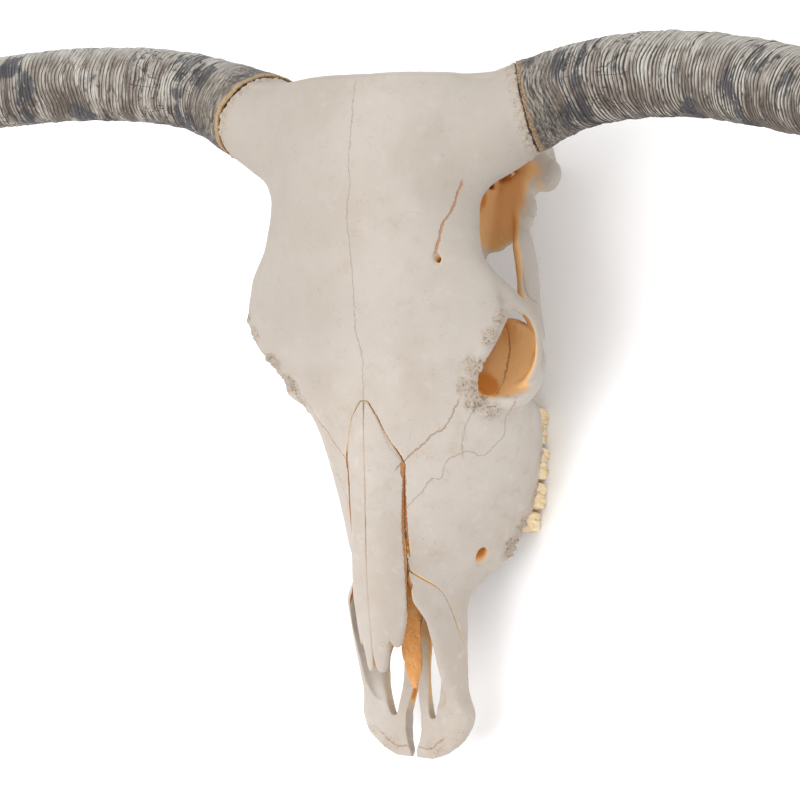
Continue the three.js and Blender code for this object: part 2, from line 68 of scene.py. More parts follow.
# ---------- curves and noise
def pchip(knots: Array, values: Array, at: Array) -> Array:
    """Interpolate values over knots with a smooth curve that never overshoots.

    Args:
        knots: increasing positions.
        values: one row of numbers per knot.
        at: positions to read.

    Returns:
        One row of numbers per position.
    """
    step = np.diff(knots)
    slope = np.diff(values, axis=0) / step[:, None]
    tangent = np.zeros_like(values)
    same = slope[:-1] * slope[1:] > 0
    near, late = 2 * step[1:] + step[:-1], step[1:] + 2 * step[:-1]
    with np.errstate(divide="ignore", invalid="ignore"):
        mean = (near + late)[:, None] / (near[:, None] / slope[:-1] + late[:, None] / slope[1:])
    tangent[1:-1] = np.where(same, mean, 0.0)
    tangent[0], tangent[-1] = slope[0], slope[-1]
    span = np.clip(np.searchsorted(knots, at, side="right") - 1, 0, len(step) - 1)
    t = np.clip((at - knots[span]) / step[span], 0.0, 1.0)[:, None]
    width = step[span][:, None]
    return ((1 + 2 * t) * (1 - t) ** 2 * values[span] + t * (1 - t) ** 2 * width * tangent[span]
            + t * t * (3 - 2 * t) * values[span + 1] + t * t * (t - 1) * width * tangent[span + 1])


def smooth_path(points: Array, steps: int, closed: bool = False) -> Array:
    """Run a centripetal curve through points.

    Args:
        points: rows to pass through; only the first two or three columns set the spacing.
        steps: samples in each span.
        closed: whether the last point joins the first.

    Returns:
        Rows sampled along the curve.
    """
    rows = np.asarray(points, float)
    if closed:
        rows = np.vstack([rows[-1:], rows, rows[:2]])
    else:
        rows = np.vstack([2 * rows[0] - rows[1], rows, 2 * rows[-1] - rows[-2]])
    place = rows[:, :3]
    knot = np.concatenate([[0.0], np.cumsum(np.linalg.norm(np.diff(place, axis=0), axis=1) ** 0.5 + 1e-6)])
    out = []
    for i in range(1, len(rows) - 2):
        t0, t1, t2, t3 = knot[i - 1:i + 3]
        t = np.linspace(t1, t2, steps, endpoint=False)[:, None]
        a1 = (t1 - t) / (t1 - t0) * rows[i - 1] + (t - t0) / (t1 - t0) * rows[i]
        a2 = (t2 - t) / (t2 - t1) * rows[i] + (t - t1) / (t2 - t1) * rows[i + 1]
        a3 = (t3 - t) / (t3 - t2) * rows[i + 1] + (t - t2) / (t3 - t2) * rows[i + 2]
        b1 = (t2 - t) / (t2 - t0) * a1 + (t - t0) / (t2 - t0) * a2
        b2 = (t3 - t) / (t3 - t1) * a2 + (t - t1) / (t3 - t1) * a3
        out.append((t2 - t) / (t2 - t1) * b1 + (t - t1) / (t2 - t1) * b2)
    if not closed:
        out.append(rows[-2:-1])
    return np.vstack(out)


def smoothstep(low: float, high: float, value: Array) -> Array:
    """Rise from 0 at low to 1 at high."""
    t = np.clip((value - low) / (high - low), 0.0, 1.0)
    return t * t * (3 - 2 * t)


# Multipliers that send neighbouring cells far apart.
HASH_STRIDES = (73856093, 19349663, 83492791)
HASH_SEED = 2654435
HASH_MIX = 1274126177


@dataclass(frozen=True)
class Noise:
    """Repeatable smooth noise over points in space."""

    seed: int

    def _corner(self, cell: Array) -> Array:
        """Hash whole-number cells to values from -1 to 1.

        Args:
            cell: rows of whole numbers.

        Returns:
            One value for each row.
        """
        x, y, z = (cell[:, axis] * stride for axis, stride in enumerate(HASH_STRIDES))
        mixed = x ^ y ^ z ^ (self.seed * HASH_SEED)
        mixed = (mixed ^ (mixed >> 13)) * HASH_MIX
        return ((mixed ^ (mixed >> 16)) & 0xFFFF) / 32767.5 - 1.0

    def at(self, points: Array, size: float) -> Array:
        """Read one octave.

        Args:
            points: rows of x, y, z.
            size: spacing of the noise in the points' unit.

        Returns:
            One value from -1 to 1 per point.
        """
        scaled = points / size
        cell = np.floor(scaled).astype(np.int64)
        part = scaled - cell
        ease = part * part * (3 - 2 * part)
        total = np.zeros(len(points))
        for corner in np.ndindex(2, 2, 2):
            weight = np.prod(np.where(np.array(corner) == 1, ease, 1 - ease), axis=1)
            total += weight * self._corner(cell + np.array(corner))
        return total

    def layered(self, points: Array, size: float, octaves: int) -> Array:
        """Sum octaves, each half the size and half the strength of the one before."""
        return sum(Noise(self.seed + k).at(points, size / 2 ** k) / 2 ** k for k in range(octaves))


# ---------- solids as distance fields
Axes = tuple[Array, Array, Array]
Box = tuple[Array, Array]


class Form:
    """A closed shape that can say how far points are from its surface."""

    def box(self) -> Box:
        """Return the lowest and highest corners."""
        raise NotImplementedError

    def distance(self, axes: Axes) -> Array:
        """Return distances on the grid of the three axes, negative inside.

        Args:
            axes: the grid's places along x, y and z.

        Returns:
            One distance for each place on the grid.
        """
        raise NotImplementedError


@dataclass(frozen=True)
class Station:
    """One outline of a mirrored loft: heights at the midline and half of the outline between."""

    y: float
    crown: float
    half: tuple[Pair, ...]
    base: float


@dataclass(frozen=True)
class Loft(Form):
    """A shape drawn through outlines square to the length of the skull, the same left and right."""

    stations: tuple[Station, ...]

    def _table(self) -> tuple[Array, Array]:
        """Return the stations' places, rising, and their outline points as rows of numbers."""
        ordered = sorted(self.stations, key=lambda s: s.y)
        rows = [[0.0, s.crown, *(v for pair in s.half for v in pair), 0.0, s.base] for s in ordered]
        return np.array([s.y for s in ordered]), np.array(rows)

    def box(self) -> Box:
        """Return the lowest and highest corners of the half at x >= 0."""
        places, rows = self._table()
        flat = rows.reshape(len(places), -1, 2)
        low = np.array([0.0, places[0], flat[:, :, 1].min()])
        high = np.array([flat[:, :, 0].max() + 1, places[-1], flat[:, :, 1].max()])
        return low, high

    def distance(self, axes: Axes) -> Array:
        """Measure each slice by its reach from a middle point, then even out the slope."""
        xs, ys, zs = axes
        places, rows = self._table()
        outline = pchip(places, rows, np.clip(ys, places[0], places[-1]))
        gap = np.empty((len(xs), len(ys), len(zs)), np.float32)
        for row, points in enumerate(outline):
            half = points.reshape(-1, 2)
            mirror = half[-2:0:-1] * [-1, 1]
            loop = smooth_path(np.vstack([half, mirror]), 12, closed=True)
            loop = loop[loop[:, 0] > -2]
            middle = 0.5 * (half[0, 1] + half[-1, 1])
            turn = np.arctan2(loop[:, 0], loop[:, 1] - middle)
            turn = np.where(turn < -1.5, turn + 2 * math.pi, turn)
            reach = np.hypot(loop[:, 0], loop[:, 1] - middle)
            order = np.argsort(turn)
            x, z = xs[:, None], zs[None, :] - middle
            gap[:, row, :] = np.hypot(x, z) - np.interp(np.arctan2(x, z), turn[order], reach[order])
        slope = np.gradient(gap, xs, ys, zs)
        steep = np.sqrt(sum(part * part for part in slope))
        ends = np.maximum(places[0] - ys, ys - places[-1])[None, :, None]
        return np.maximum(gap / np.clip(steep, 0.7, 6.0), ends.astype(np.float32))


@dataclass(frozen=True)
class Knot:
    """One place on a tube: its centre and its radii across and upwards."""

    at: Point
    r: Pair


Knots = tuple[Knot, ...]


@dataclass(frozen=True)
class Tube(Form):
    """An oval tube through knots, with round ends or joined into a ring."""

    knots: Knots
    closed: bool = False
    up: Point = (0.0, 0.0, 1.0)
    steps: int = 5

    def _samples(self) -> Array:
        """Return rows of centre and radii along the tube."""
        rows = np.array([[*k.at, *k.r] for k in self.knots])
        path = smooth_path(rows, self.steps, self.closed)
        return np.vstack([path, path[:1]]) if self.closed else path

    def box(self) -> Box:
        """Return the corners of the box round every ring."""
        rows = self._samples()
        reach = rows[:, 3:].max(axis=1)[:, None]
        return (rows[:, :3] - reach).min(axis=0), (rows[:, :3] + reach).max(axis=0)

    def distance(self, axes: Axes) -> Array:
        """Measure from the nearest place on the centre line, as an oval."""
        x, y, z = axes[0][:, None, None], axes[1][None, :, None], axes[2][None, None, :]
        rows = self._samples()
        best = np.full((len(axes[0]), len(axes[1]), len(axes[2])), 1e12)
        out = np.zeros_like(best)
        for start, stop in zip(rows[:-1], rows[1:]):
            line = stop[:3] - start[:3]
            length = np.linalg.norm(line)
            along = line / length
            dx, dy, dz = x - start[0], y - start[1], z - start[2]
            run = dx * along[0] + dy * along[1] + dz * along[2]
            t = np.clip(run / length, 0.0, 1.0)
            dx, dy, dz = dx - t * line[0], dy - t * line[1], dz - t * line[2]
            square = dx * dx + dy * dy + dz * dz
            closer = square < best
            side = np.cross(along, self.up)
            side /= np.linalg.norm(side)
            lift = np.cross(side, along)
            across = start[3] + (stop[3] - start[3]) * t
            high = start[4] + (stop[4] - start[4]) * t
            blunt = np.minimum(across, high)
            u = dx * side[0] + dy * side[1] + dz * side[2]
            v = dx * lift[0] + dy * lift[1] + dz * lift[2]
            w = dx * along[0] + dy * along[1] + dz * along[2]
            near = np.sqrt((u / across) ** 2 + (v / high) ** 2 + (w / blunt) ** 2) + 1e-9
            rate = np.sqrt((u / across ** 2) ** 2 + (v / high ** 2) ** 2 + (w / blunt ** 2) ** 2) + 1e-9
            out = np.where(closer, near * (near - 1) / rate, out)
            best = np.where(closer, square, best)
        return out.astype(np.float32)


@dataclass(frozen=True)
class Ball(Form):
    """An ellipsoid along the axes."""

    at: Point
    r: Point

    def box(self) -> Box:
        """Return its corners."""
        return np.array(self.at) - self.r, np.array(self.at) + self.r

    def distance(self, axes: Axes) -> Array:
        """Measure as an ellipsoid."""
        parts = [axis - c for axis, c in zip(axes, self.at)]
        grid = np.meshgrid(*parts, indexing="ij", sparse=True)
        near = np.sqrt(sum((g / r) ** 2 for g, r in zip(grid, self.r))) + 1e-9
        rate = np.sqrt(sum((g / r ** 2) ** 2 for g, r in zip(grid, self.r))) + 1e-9
        return (near * (near - 1) / rate).astype(np.float32)


@dataclass(frozen=True)
class Blade:
    """One place on an upright plate: how far out it stands, its lower and upper edge, half its thickness."""

    y: float
    x: float
    low: float
    high: float
    half: float


@dataclass(frozen=True)
class Fin(Form):
    """An upright plate that follows the length of the skull."""

    blades: tuple[Blade, ...]

    def _rows(self) -> Array:
        """Return the blades as rows, with rising y."""
        rows = [[b.y, b.x, b.low, b.high, b.half] for b in self.blades]
        return np.array(sorted(rows))

    def box(self) -> Box:
        """Return its corners."""
        rows = self._rows()
        thick = rows[:, 4].max()
        low = [rows[:, 1].min() - thick, rows[0, 0], rows[:, 2].min()]
        return np.array(low), np.array([rows[:, 1].max() + thick, rows[-1, 0], rows[:, 3].max()])

    def distance(self, axes: Axes) -> Array:
        """Measure as a rounded slab."""
        rows = self._rows()
        at = pchip(rows[:, 0], rows[:, 1:], np.clip(axes[1], rows[0, 0], rows[-1, 0]))
        x, low, high, half = (at[:, i][None, :, None] for i in range(4))
        side = np.abs(axes[0][:, None, None] - x)
        over = np.maximum(low + half - axes[2][None, None, :], axes[2][None, None, :] - high)
        ends = np.maximum(rows[0, 0] - axes[1], axes[1] - rows[-1, 0])[None, :, None]
        return np.maximum(np.hypot(side, np.maximum(over, 0)) - half, ends).astype(np.float32)


@dataclass(frozen=True)
class Outline(Form):
    """A pillar whose plan is a closed outline in x and y, with soft corners."""

    plan: tuple[Pair, ...]
    low: float
    high: float
    soft: bool = True

    def _loop(self) -> Array:
        """Return the outline as points."""
        return smooth_path(np.array(self.plan), 6, closed=True) if self.soft else np.array(self.plan)

    def box(self) -> Box:
        """Return its corners."""
        loop = self._loop()
        return np.array([*loop.min(axis=0), self.low]), np.array([*loop.max(axis=0), self.high])

    def distance(self, axes: Axes) -> Array:
        """Measure in plan, then against the two ends."""
        flat = plan_distance(axes[0], axes[1], self._loop())[:, :, None]
        ends = np.maximum(self.low - axes[2], axes[2] - self.high)[None, None, :]
        return np.maximum(flat, ends).astype(np.float32)


def plan_distance(xs: Array, ys: Array, loop: Array) -> Array:
    """Measure a flat grid against a closed outline.

    Args:
        xs: places along x.
        ys: places along y.
        loop: corners of the outline.

    Returns:
        Distances, negative inside, by x then y.
    """
    x, y = xs[:, None], ys[None, :]
    best = np.full((len(xs), len(ys)), 1e12)
    inside = np.zeros(best.shape, bool)
    for (ax, ay), (bx, by) in zip(loop, np.roll(loop, -1, axis=0)):
        ex, ey = bx - ax, by - ay
        t = np.clip(((x - ax) * ex + (y - ay) * ey) / max(ex * ex + ey * ey, 1e-9), 0, 1)
        best = np.minimum(best, (x - ax - t * ex) ** 2 + (y - ay - t * ey) ** 2)
        if by != ay:
            crosses = (ay > y) != (by > y)
            inside ^= crosses & (x < ax + (y - ay) * ex / ey)
    return np.where(inside, -1.0, 1.0) * np.sqrt(best)


class Volume:
    """A block of space that shapes are added to and cut from, then skinned."""

    def __init__(self, low: Point, high: Point, step: float) -> None:
        """Lay out an empty grid.

        Args:
            low: lowest corner.
            high: highest corner.
            step: spacing of the grid.
        """
        self.step = step
        self.axes = tuple(np.arange(a, b + step, step) for a, b in zip(low, high))
        self.values = np.full([len(a) for a in self.axes], FAR, np.float32)

    def window(self, form: Form, margin: float) -> tuple[tuple[slice, ...], Axes]:
        """Return the part of the grid near a shape.

        Args:
            form: the shape.
            margin: how far beyond its box to reach.

        Returns:
            The grid's slices, and its places in them.
        """
        low, high = form.box()
        spans = []
        for axis, a, b in zip(self.axes, low, high):
            first = int(np.searchsorted(axis, a - margin))
            spans.append(slice(first, max(int(np.searchsorted(axis, b + margin)), first + 3)))
        return tuple(spans), tuple(axis[span] for axis, span in zip(self.axes, spans))

    def add(self, form: Form, blend: float = 0.0) -> None:
        """Join a shape on, rounding the corner between by blend.

        Args:
            form: the shape.
            blend: how soft the corner is.
        """
        spans, axes = self.window(form, blend + 4 * self.step)
        old = self.values[spans]
        new = form.distance(axes)
        self.values[spans] = soften(old, new, blend)

    def cut(self, form: Form, blend: float = 0.0) -> None:
        """Take a shape away, rounding the edge by blend.

        Args:
            form: the shape.
            blend: how soft the edge is.
        """
        spans, axes = self.window(form, blend + 4 * self.step)
        old = self.values[spans]
        self.values[spans] = -soften(-old, form.distance(axes), blend)

    def keep(self, distance: Array) -> None:
        """Keep only what lies inside another field on the same grid."""
        self.values = np.maximum(self.values, distance.astype(np.float32))

    def mirrored(self) -> "Volume":
        """Return the whole of a block whose first layer is the midline."""
        whole = Volume.__new__(Volume)
        whole.step = self.step
        whole.axes = (np.concatenate([-self.axes[0][:0:-1], self.axes[0]]), *self.axes[1:])
        whole.values = np.concatenate([self.values[:0:-1], self.values])
        return whole

    def copy(self) -> "Volume":
        """Return a block of the same space with its own values."""
        twin = Volume.__new__(Volume)
        twin.step, twin.axes, twin.values = self.step, self.axes, self.values.copy()
        return twin


def soften(a: Array, b: Array, blend: float) -> Array:
    """Take the lesser of two fields, rounded where they meet.

    Args:
        a: one field.
        b: the other.
        blend: how wide the rounding is.

    Returns:
        The joined field.
    """
    if blend <= 0:
        return np.minimum(a, b)
    share = np.maximum(blend - np.abs(a - b), 0.0) / blend
    return np.minimum(a, b) - share * share * blend * 0.25


# ---------- skinning
@dataclass
class Skin:
    """Points and faces of a mesh, in millimetres."""

    points: Array
    faces: Array

    def normals(self) -> Array:
        """Return one unit normal per point.

        Returns:
            A row for each point.
        """
        corners = self.points[self.faces]
        flat = np.cross(corners[:, 2] - corners[:, 0], corners[:, -1] - corners[:, 1])
        out = np.zeros_like(self.points)
        for column in range(self.faces.shape[1]):
            for axis in range(3):
                out[:, axis] += np.bincount(self.faces[:, column], flat[:, axis], len(self.points))
        return out / np.maximum(np.linalg.norm(out, axis=1, keepdims=True), 1e-12)


EDGES = [(a, a | bit) for a in range(8) for bit in (1, 2, 4) if not a & bit]


def surface_net(block: Volume) -> Skin:
    """Skin the zero level of a block with four-sided faces.

    Args:
        block: the block to skin; nothing may touch its outer layer.

    Returns:
        The skin, facing outwards.
    """
    values = block.values
    inside = values < 0
    count = sum(inside[i:i + inside.shape[0] - 1, j:j + inside.shape[1] - 1, k:k + inside.shape[2] - 1]
                .astype(np.int8) for i, j, k in np.ndindex(2, 2, 2))
    cells = np.argwhere((count > 0) & (count < 8))
    number = np.full(count.shape, -1, np.int32)
    number[tuple(cells.T)] = np.arange(len(cells))
    offsets = np.array([(c & 1, c >> 1 & 1, c >> 2 & 1) for c in range(8)])
    corner = [values[tuple((cells + o).T)] for o in offsets]
    place, hits = np.zeros((len(cells), 3)), np.zeros(len(cells))
    for a, b in EDGES:
        crossed = (corner[a] < 0) != (corner[b] < 0)
        share = np.where(crossed, corner[a] / np.where(crossed, corner[a] - corner[b], 1), 0)
        spot = offsets[a] + share[:, None] * (offsets[b] - offsets[a])
        place += spot * crossed[:, None]
        hits += crossed
    points = (cells + place / hits[:, None]) * block.step + [axis[0] for axis in block.axes]
    faces = [_faces_across(inside, number, axis) for axis in range(3)]
    return Skin(points, np.vstack(faces))


def _faces_across(inside: Array, number: Array, axis: int) -> Array:
    """Return the faces that cross the grid's edges along one axis.

    Args:
        inside: whether each place on the grid is inside.
        number: the number of each cell's point.
        axis: the axis.

    Returns:
        Rows of four point numbers.
    """
    one, two = [(axis + 1) % 3, (axis + 2) % 3]
    near = np.take(inside, range(inside.shape[axis] - 1), axis)
    far = np.take(inside, range(1, inside.shape[axis]), axis)
    spots = np.argwhere(near != far)
    keep = (spots[:, one] > 0) & (spots[:, two] > 0)
    keep &= (spots[:, one] < number.shape[one]) & (spots[:, two] < number.shape[two])
    spots = spots[keep]
    quad = []
    for da, db in ((1, 1), (0, 1), (0, 0), (1, 0)):
        cell = spots.copy()
        cell[:, one] -= da
        cell[:, two] -= db
        quad.append(number[tuple(cell.T)])
    faces = np.stack(quad, axis=1)
    flip = ~near[tuple(spots.T)]
    faces[flip] = faces[flip][:, ::-1]
    return faces[(faces >= 0).all(axis=1)]


def without_crumbs(skin: Skin, least: int = 4000) -> Skin:
    """Drop loose crumbs: keep every connected piece with at least `least` points.

    Args:
        skin: the skin.
        least: how many points a piece needs to stay.

    Returns:
        The skin of what stays.
    """
    label = np.arange(len(skin.points))
    edges = np.vstack([skin.faces[:, [0, 1]], skin.faces[:, [1, 2]], skin.faces[:, [2, 3]]])
    while True:
        low = np.minimum(label[edges[:, 0]], label[edges[:, 1]])
        new = label.copy()
        np.minimum.at(new, edges[:, 0], low)
        np.minimum.at(new, edges[:, 1], low)
        new = new[new]
        if (new == label).all():
            break
        label = new
    size = np.bincount(label, minlength=len(label))
    keep = size[label] >= min(least, size.max())
    renumber = np.cumsum(keep) - 1
    return Skin(skin.points[keep], renumber[skin.faces[keep[skin.faces[:, 0]]]])


# ---------- meshes
class Body(Enum):
    """The bodies of the frame."""

    ROOT = "root"


class Slot(Enum):
    """The record's materials."""

    BONE = "bone"
    HORN = "horn"


@dataclass
class Piece:
    """One visible piece on its way to becoming an object."""

    name: str
    skin: Skin
    slot: Slot
    stands_for: tuple[str, ...]
    facts: dict[str, Array] = field(default_factory=dict)

    def build(self, material: Material) -> bpy.types.Object:
        """Make the object, dress it and set it on the frame.

        Args:
            material: its finish.

        Returns:
            The object.
        """
        mesh = bpy.data.meshes.new(self.name)
        points = (self.skin.points + [0.0, SHIFT_Y, 0.0]) * MILLIMETRE
        faces = self.skin.faces
        sides = faces.shape[1]
        mesh.vertices.add(len(points))
        mesh.vertices.foreach_set("co", points.astype(np.float32).ravel())
        mesh.loops.add(faces.size)
        mesh.loops.foreach_set("vertex_index", faces.astype(np.int32).ravel())
        mesh.polygons.add(len(faces))
        mesh.polygons.foreach_set("loop_start", np.arange(0, faces.size, sides, dtype=np.int32))
        mesh.polygons.foreach_set("use_smooth", np.ones(len(faces), bool))
        mesh.update(calc_edges=True)
        for name, values in self.facts.items():
            layer = mesh.attributes.new(name, "FLOAT_VECTOR", "POINT")
            layer.data.foreach_set("vector", values.astype(np.float32).ravel())
        mesh.materials.append(material)
        piece = bpy.data.objects.new(self.name, mesh)
        bpy.context.scene.collection.objects.link(piece)
        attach(piece, Body.ROOT.value)
        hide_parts(*self.stands_for)
        log.info("%s: %d faces", self.name, len(faces))
        return piece


def mirrored_skin(skin: Skin) -> Skin:
    """Return the skin's mirror image across the midline."""
    return Skin(skin.points * [-1, 1, 1], skin.faces[:, ::-1])


def settle(skin: Skin, block: Volume, rounds: int = 2) -> Skin:
    """Slide a skin's points onto the zero level of the block that it came from.

    Args:
        skin: the skin.
        block: its block.
        rounds: how many times to slide.

    Returns:
        The smoother skin.
    """
    points = skin.points.copy()
    for _ in range(rounds):
        points = relaxed(Skin(points, skin.faces), 0.5)
        value, slope = read_field(block, points)
        steep = np.maximum((slope ** 2).sum(axis=1), 0.05)
        points -= np.clip(value / steep, -0.6, 0.6)[:, None] * slope
    return Skin(points, skin.faces)


def relaxed(skin: Skin, share: float) -> Array:
    """Return points moved part of the way to the middle of their neighbours.

    Args:
        skin: the skin.
        share: how far to move, from 0 to 1.

    Returns:
        The moved points.
    """
    total, count = np.zeros_like(skin.points), np.zeros(len(skin.points))
    sides = skin.faces.shape[1]
    for column in range(sides):
        here, there = skin.faces[:, column], skin.faces[:, (column + 1) % sides]
        count += np.bincount(here, minlength=len(count)) + np.bincount(there, minlength=len(count))
        for axis in range(3):
            total[:, axis] += np.bincount(here, skin.points[there, axis], len(count))
            total[:, axis] += np.bincount(there, skin.points[here, axis], len(count))
    return skin.points + share * (total / np.maximum(count, 1)[:, None] - skin.points)


def read_field(block: Volume, points: Array) -> tuple[Array, Array]:
    """Read a block between its grid points.

    Args:
        block: the block.
        points: where to read.

    Returns:
        The values and their slopes.
    """
    first = np.array([axis[0] for axis in block.axes])
    place = (points - first) / block.step
    size = np.array(block.values.shape)
    cell = np.clip(np.floor(place).astype(int), 0, size - 2)
    part = place - cell
    value, slope = np.zeros(len(points)), np.zeros_like(points)
    for corner in np.ndindex(2, 2, 2):
        pick = np.array(corner)
        level = block.values[tuple((cell + pick).T)]
        weight = np.where(pick == 1, part, 1 - part)
        value += level * weight.prod(axis=1)
        for axis in range(3):
            others = np.delete(weight, axis, axis=1).prod(axis=1)
            slope[:, axis] += level * others * (1 if corner[axis] else -1) / block.step
    return value, slope


# How many ways each point looks, and how far along each it stops to look.
SHELTER_RAYS = 40
SHELTER_REACHES = (4.0, 8.0, 13.0, 20.0, 29.0, 40.0, 54.0)


def shelter(block: Volume, skin: Skin) -> Array:
    """Find how far each point is walled in by the bone round it.

    Args:
        block: the solid bone.
        skin: points with outward faces.

    Returns:
        0 in the open to 1 deep inside.
    """
    coarse = block.values[::2, ::2, ::2] < 0
    first = np.array([axis[0] for axis in block.axes])
    size = np.array(coarse.shape)
    normals = skin.normals()
    blocked, total = np.zeros(len(skin.points)), np.zeros(len(skin.points))
    for k in range(SHELTER_RAYS):
        height = 1 - 2 * (k + 0.5) / SHELTER_RAYS
        turn = k * math.pi * (3 - math.sqrt(5))
        flat = math.sqrt(1 - height * height)
        ray = np.array([flat * math.cos(turn), flat * math.sin(turn), height])
        weight = np.clip(normals @ ray, 0, None)
        seen = np.where(weight > 0.05)[0]
        hit = np.zeros(len(seen), bool)
        for reach in SHELTER_REACHES:
            spot = skin.points[seen] + 2.0 * normals[seen] + reach * ray
            cell = np.round((spot - first) / (2 * block.step)).astype(int)
            inside = ((cell >= 0) & (cell < size)).all(axis=1)
            cell = np.clip(cell, 0, size - 1)
            hit |= inside & coarse[tuple(cell.T)]
        blocked[seen] += weight[seen] * hit
        total += weight
    return blocked / np.maximum(total, 1e-6)


# ---------- seams
# How far from a seam its side distance is measured.
SEAM_REACH = 12.0


@dataclass(frozen=True)
class Seam:
    """A line where two bones meet, or a groove, on the surface of the skull."""

    group: int
    points: tuple[Point, ...]
    both: bool = False
    width: float = 0.5
    strength: float = 0.7

    def runs(self) -> list[Array]:
        """Return the line, and its mirror image if it is on both sides."""
        rows = smooth_path(np.array(self.points, float), 4)
        return [rows, rows * [-1, 1, 1]] if self.both else [rows]


def seam_facts(skin: Skin, seams: Sequence[Seam]) -> dict[str, Array]:
    """Measure how far each point lies to the left of the nearest seam of each group.

    Args:
        skin: the surface.
        seams: the lines, in three groups that don't touch themselves.

    Returns:
        The side distances, how near the point is to the seam (its strength on it), and the seam's width.
    """
    side = np.full((len(skin.points), 3), SEAM_REACH)
    away = np.full((len(skin.points), 3), SEAM_REACH)
    strength, width = np.zeros_like(side), np.full_like(side, 0.5)
    normals = skin.normals()
    for seam in seams:
        group = seam.group
        for run in seam.runs():
            low, high = run.min(axis=0) - SEAM_REACH, run.max(axis=0) + SEAM_REACH
            pick = np.where(((skin.points > low) & (skin.points < high)).all(axis=1))[0]
            measured = side[:, group], away[:, group]
            took = _measure_run(skin.points[pick], normals[pick], run, pick, measured)
            strength[took, group], width[took, group] = seam.strength, seam.width
    near = strength * (1 - smoothstep(SEAM_REACH * 0.35, SEAM_REACH * 0.8, away))
    return {"side": side, "near": near, "width": width}


def _measure_run(points: Array, normals: Array, run: Array, pick: Array,
                 measured: tuple[Array, Array]) -> Array:
    """Measure the points that one run is nearest to.

    Args:
        points: the points to measure.
        normals: the skin's direction at each.
        run: the line.
        pick: the points' numbers in the whole skin.
        measured: the whole skin's side distances and distances, which are changed in place.

    Returns:
        The numbers of the points that the run is nearest to.
    """
    side, away = measured
    took = np.zeros(len(points), bool)
    for start, stop in zip(run[:-1], run[1:]):
        line = stop - start
        length = float(np.linalg.norm(line))
        t = np.clip((points - start) @ line / length ** 2, 0, 1)
        offset = points - start - t[:, None] * line
        gap = np.linalg.norm(offset, axis=1)
        across = np.cross(normals, line / length)
        closer = gap < away[pick]
        away[pick[closer]] = gap[closer]
        side[pick[closer]] = (offset * across).sum(axis=1)[closer]
        took |= closer
    return pick[took]


SEAMS = (
    # Between the two brow bones.
    Seam(0, ((0, -17, 197), (1, -45, 198), (0, -73, 196), (2, -84, 196), (0, -98, 194), (-1, -113, 190),
             (0, -136, 184), (-1, -168, 174), (-2, -187, 167), (2, -205, 162), (1, -217, 157),
             (0, -237, 152)), width=0.42, strength=0.55),
    # Round the back of the nasal bones.
    Seam(1, ((0, -237, 152), (5, -239, 151), (9, -246, 149), (15, -260, 144), (18, -269, 139),
             (25, -279, 131)), both=True, width=0.4, strength=0.4),
    # The open crack along each nasal bone, and the seam from it to the eye socket.
    Seam(1, ((25, -280, 131), (24, -291, 126), (24, -308, 123), (24, -338, 117), (25, -366, 109),
             (24, -379, 105)), both=True, width=2.0, strength=0.9),
    Seam(2, ((25, -279, 131), (32, -272, 130), (39, -266, 129), (48, -257, 128), (56, -252, 126),
             (66, -238, 130)), both=True, width=0.8, strength=0.75),
    # Between cheek bone and tear bone.
    Seam(0, ((26, -310, 121), (36, -297, 117), (41, -289, 116), (47, -288, 112), (51, -277, 114),
             (60, -269, 110), (64, -266, 104), (70, -269, 96), (76, -262, 91), (81, -253, 87),
             (86, -242, 93), (98, -230, 104)), both=True, width=0.5, strength=0.55),
    Seam(1, ((62, -266, 110), (65, -256, 115), (73, -242, 119), (84, -232, 122)),
         both=True, width=0.5, strength=0.5),
    # The vessel's groove over the left brow.
    Seam(1, ((83, -88, 176), (79, -104, 178), (75, -110, 180), (72, -124, 180), (71, -128, 180)),
         width=1.0, strength=0.8),
    # In the eye socket.
    Seam(1, ((85, -180, 98), (86, -198, 98), (88, -219, 112)), both=True, width=0.8, strength=0.9),
    # Across the front of each incisive bone.
    Seam(0, ((5, -485.6, 49), (15, -486, 48.5), (24, -480, 47)), both=True, width=0.6, strength=0.7),
    # Across the cheek arch.
    Seam(2, ((103, -138, 112), (105, -150, 110), (104, -160, 100)), both=True, width=0.5, strength=0.6),
)


# ---------- the skull's bones
def ring(y: float, crown: float, half: Sequence[Pair], base: float) -> Station:
    """Shorten the writing of a station."""
    return Station(y, crown, tuple(half), base)


def knots(*rows: Sequence[float]) -> Knots:
    """Make knots from rows of x, y, z, radius across and radius upwards."""
    return tuple(Knot((row[0], row[1], row[2]), (row[3], row[4])) for row in rows)


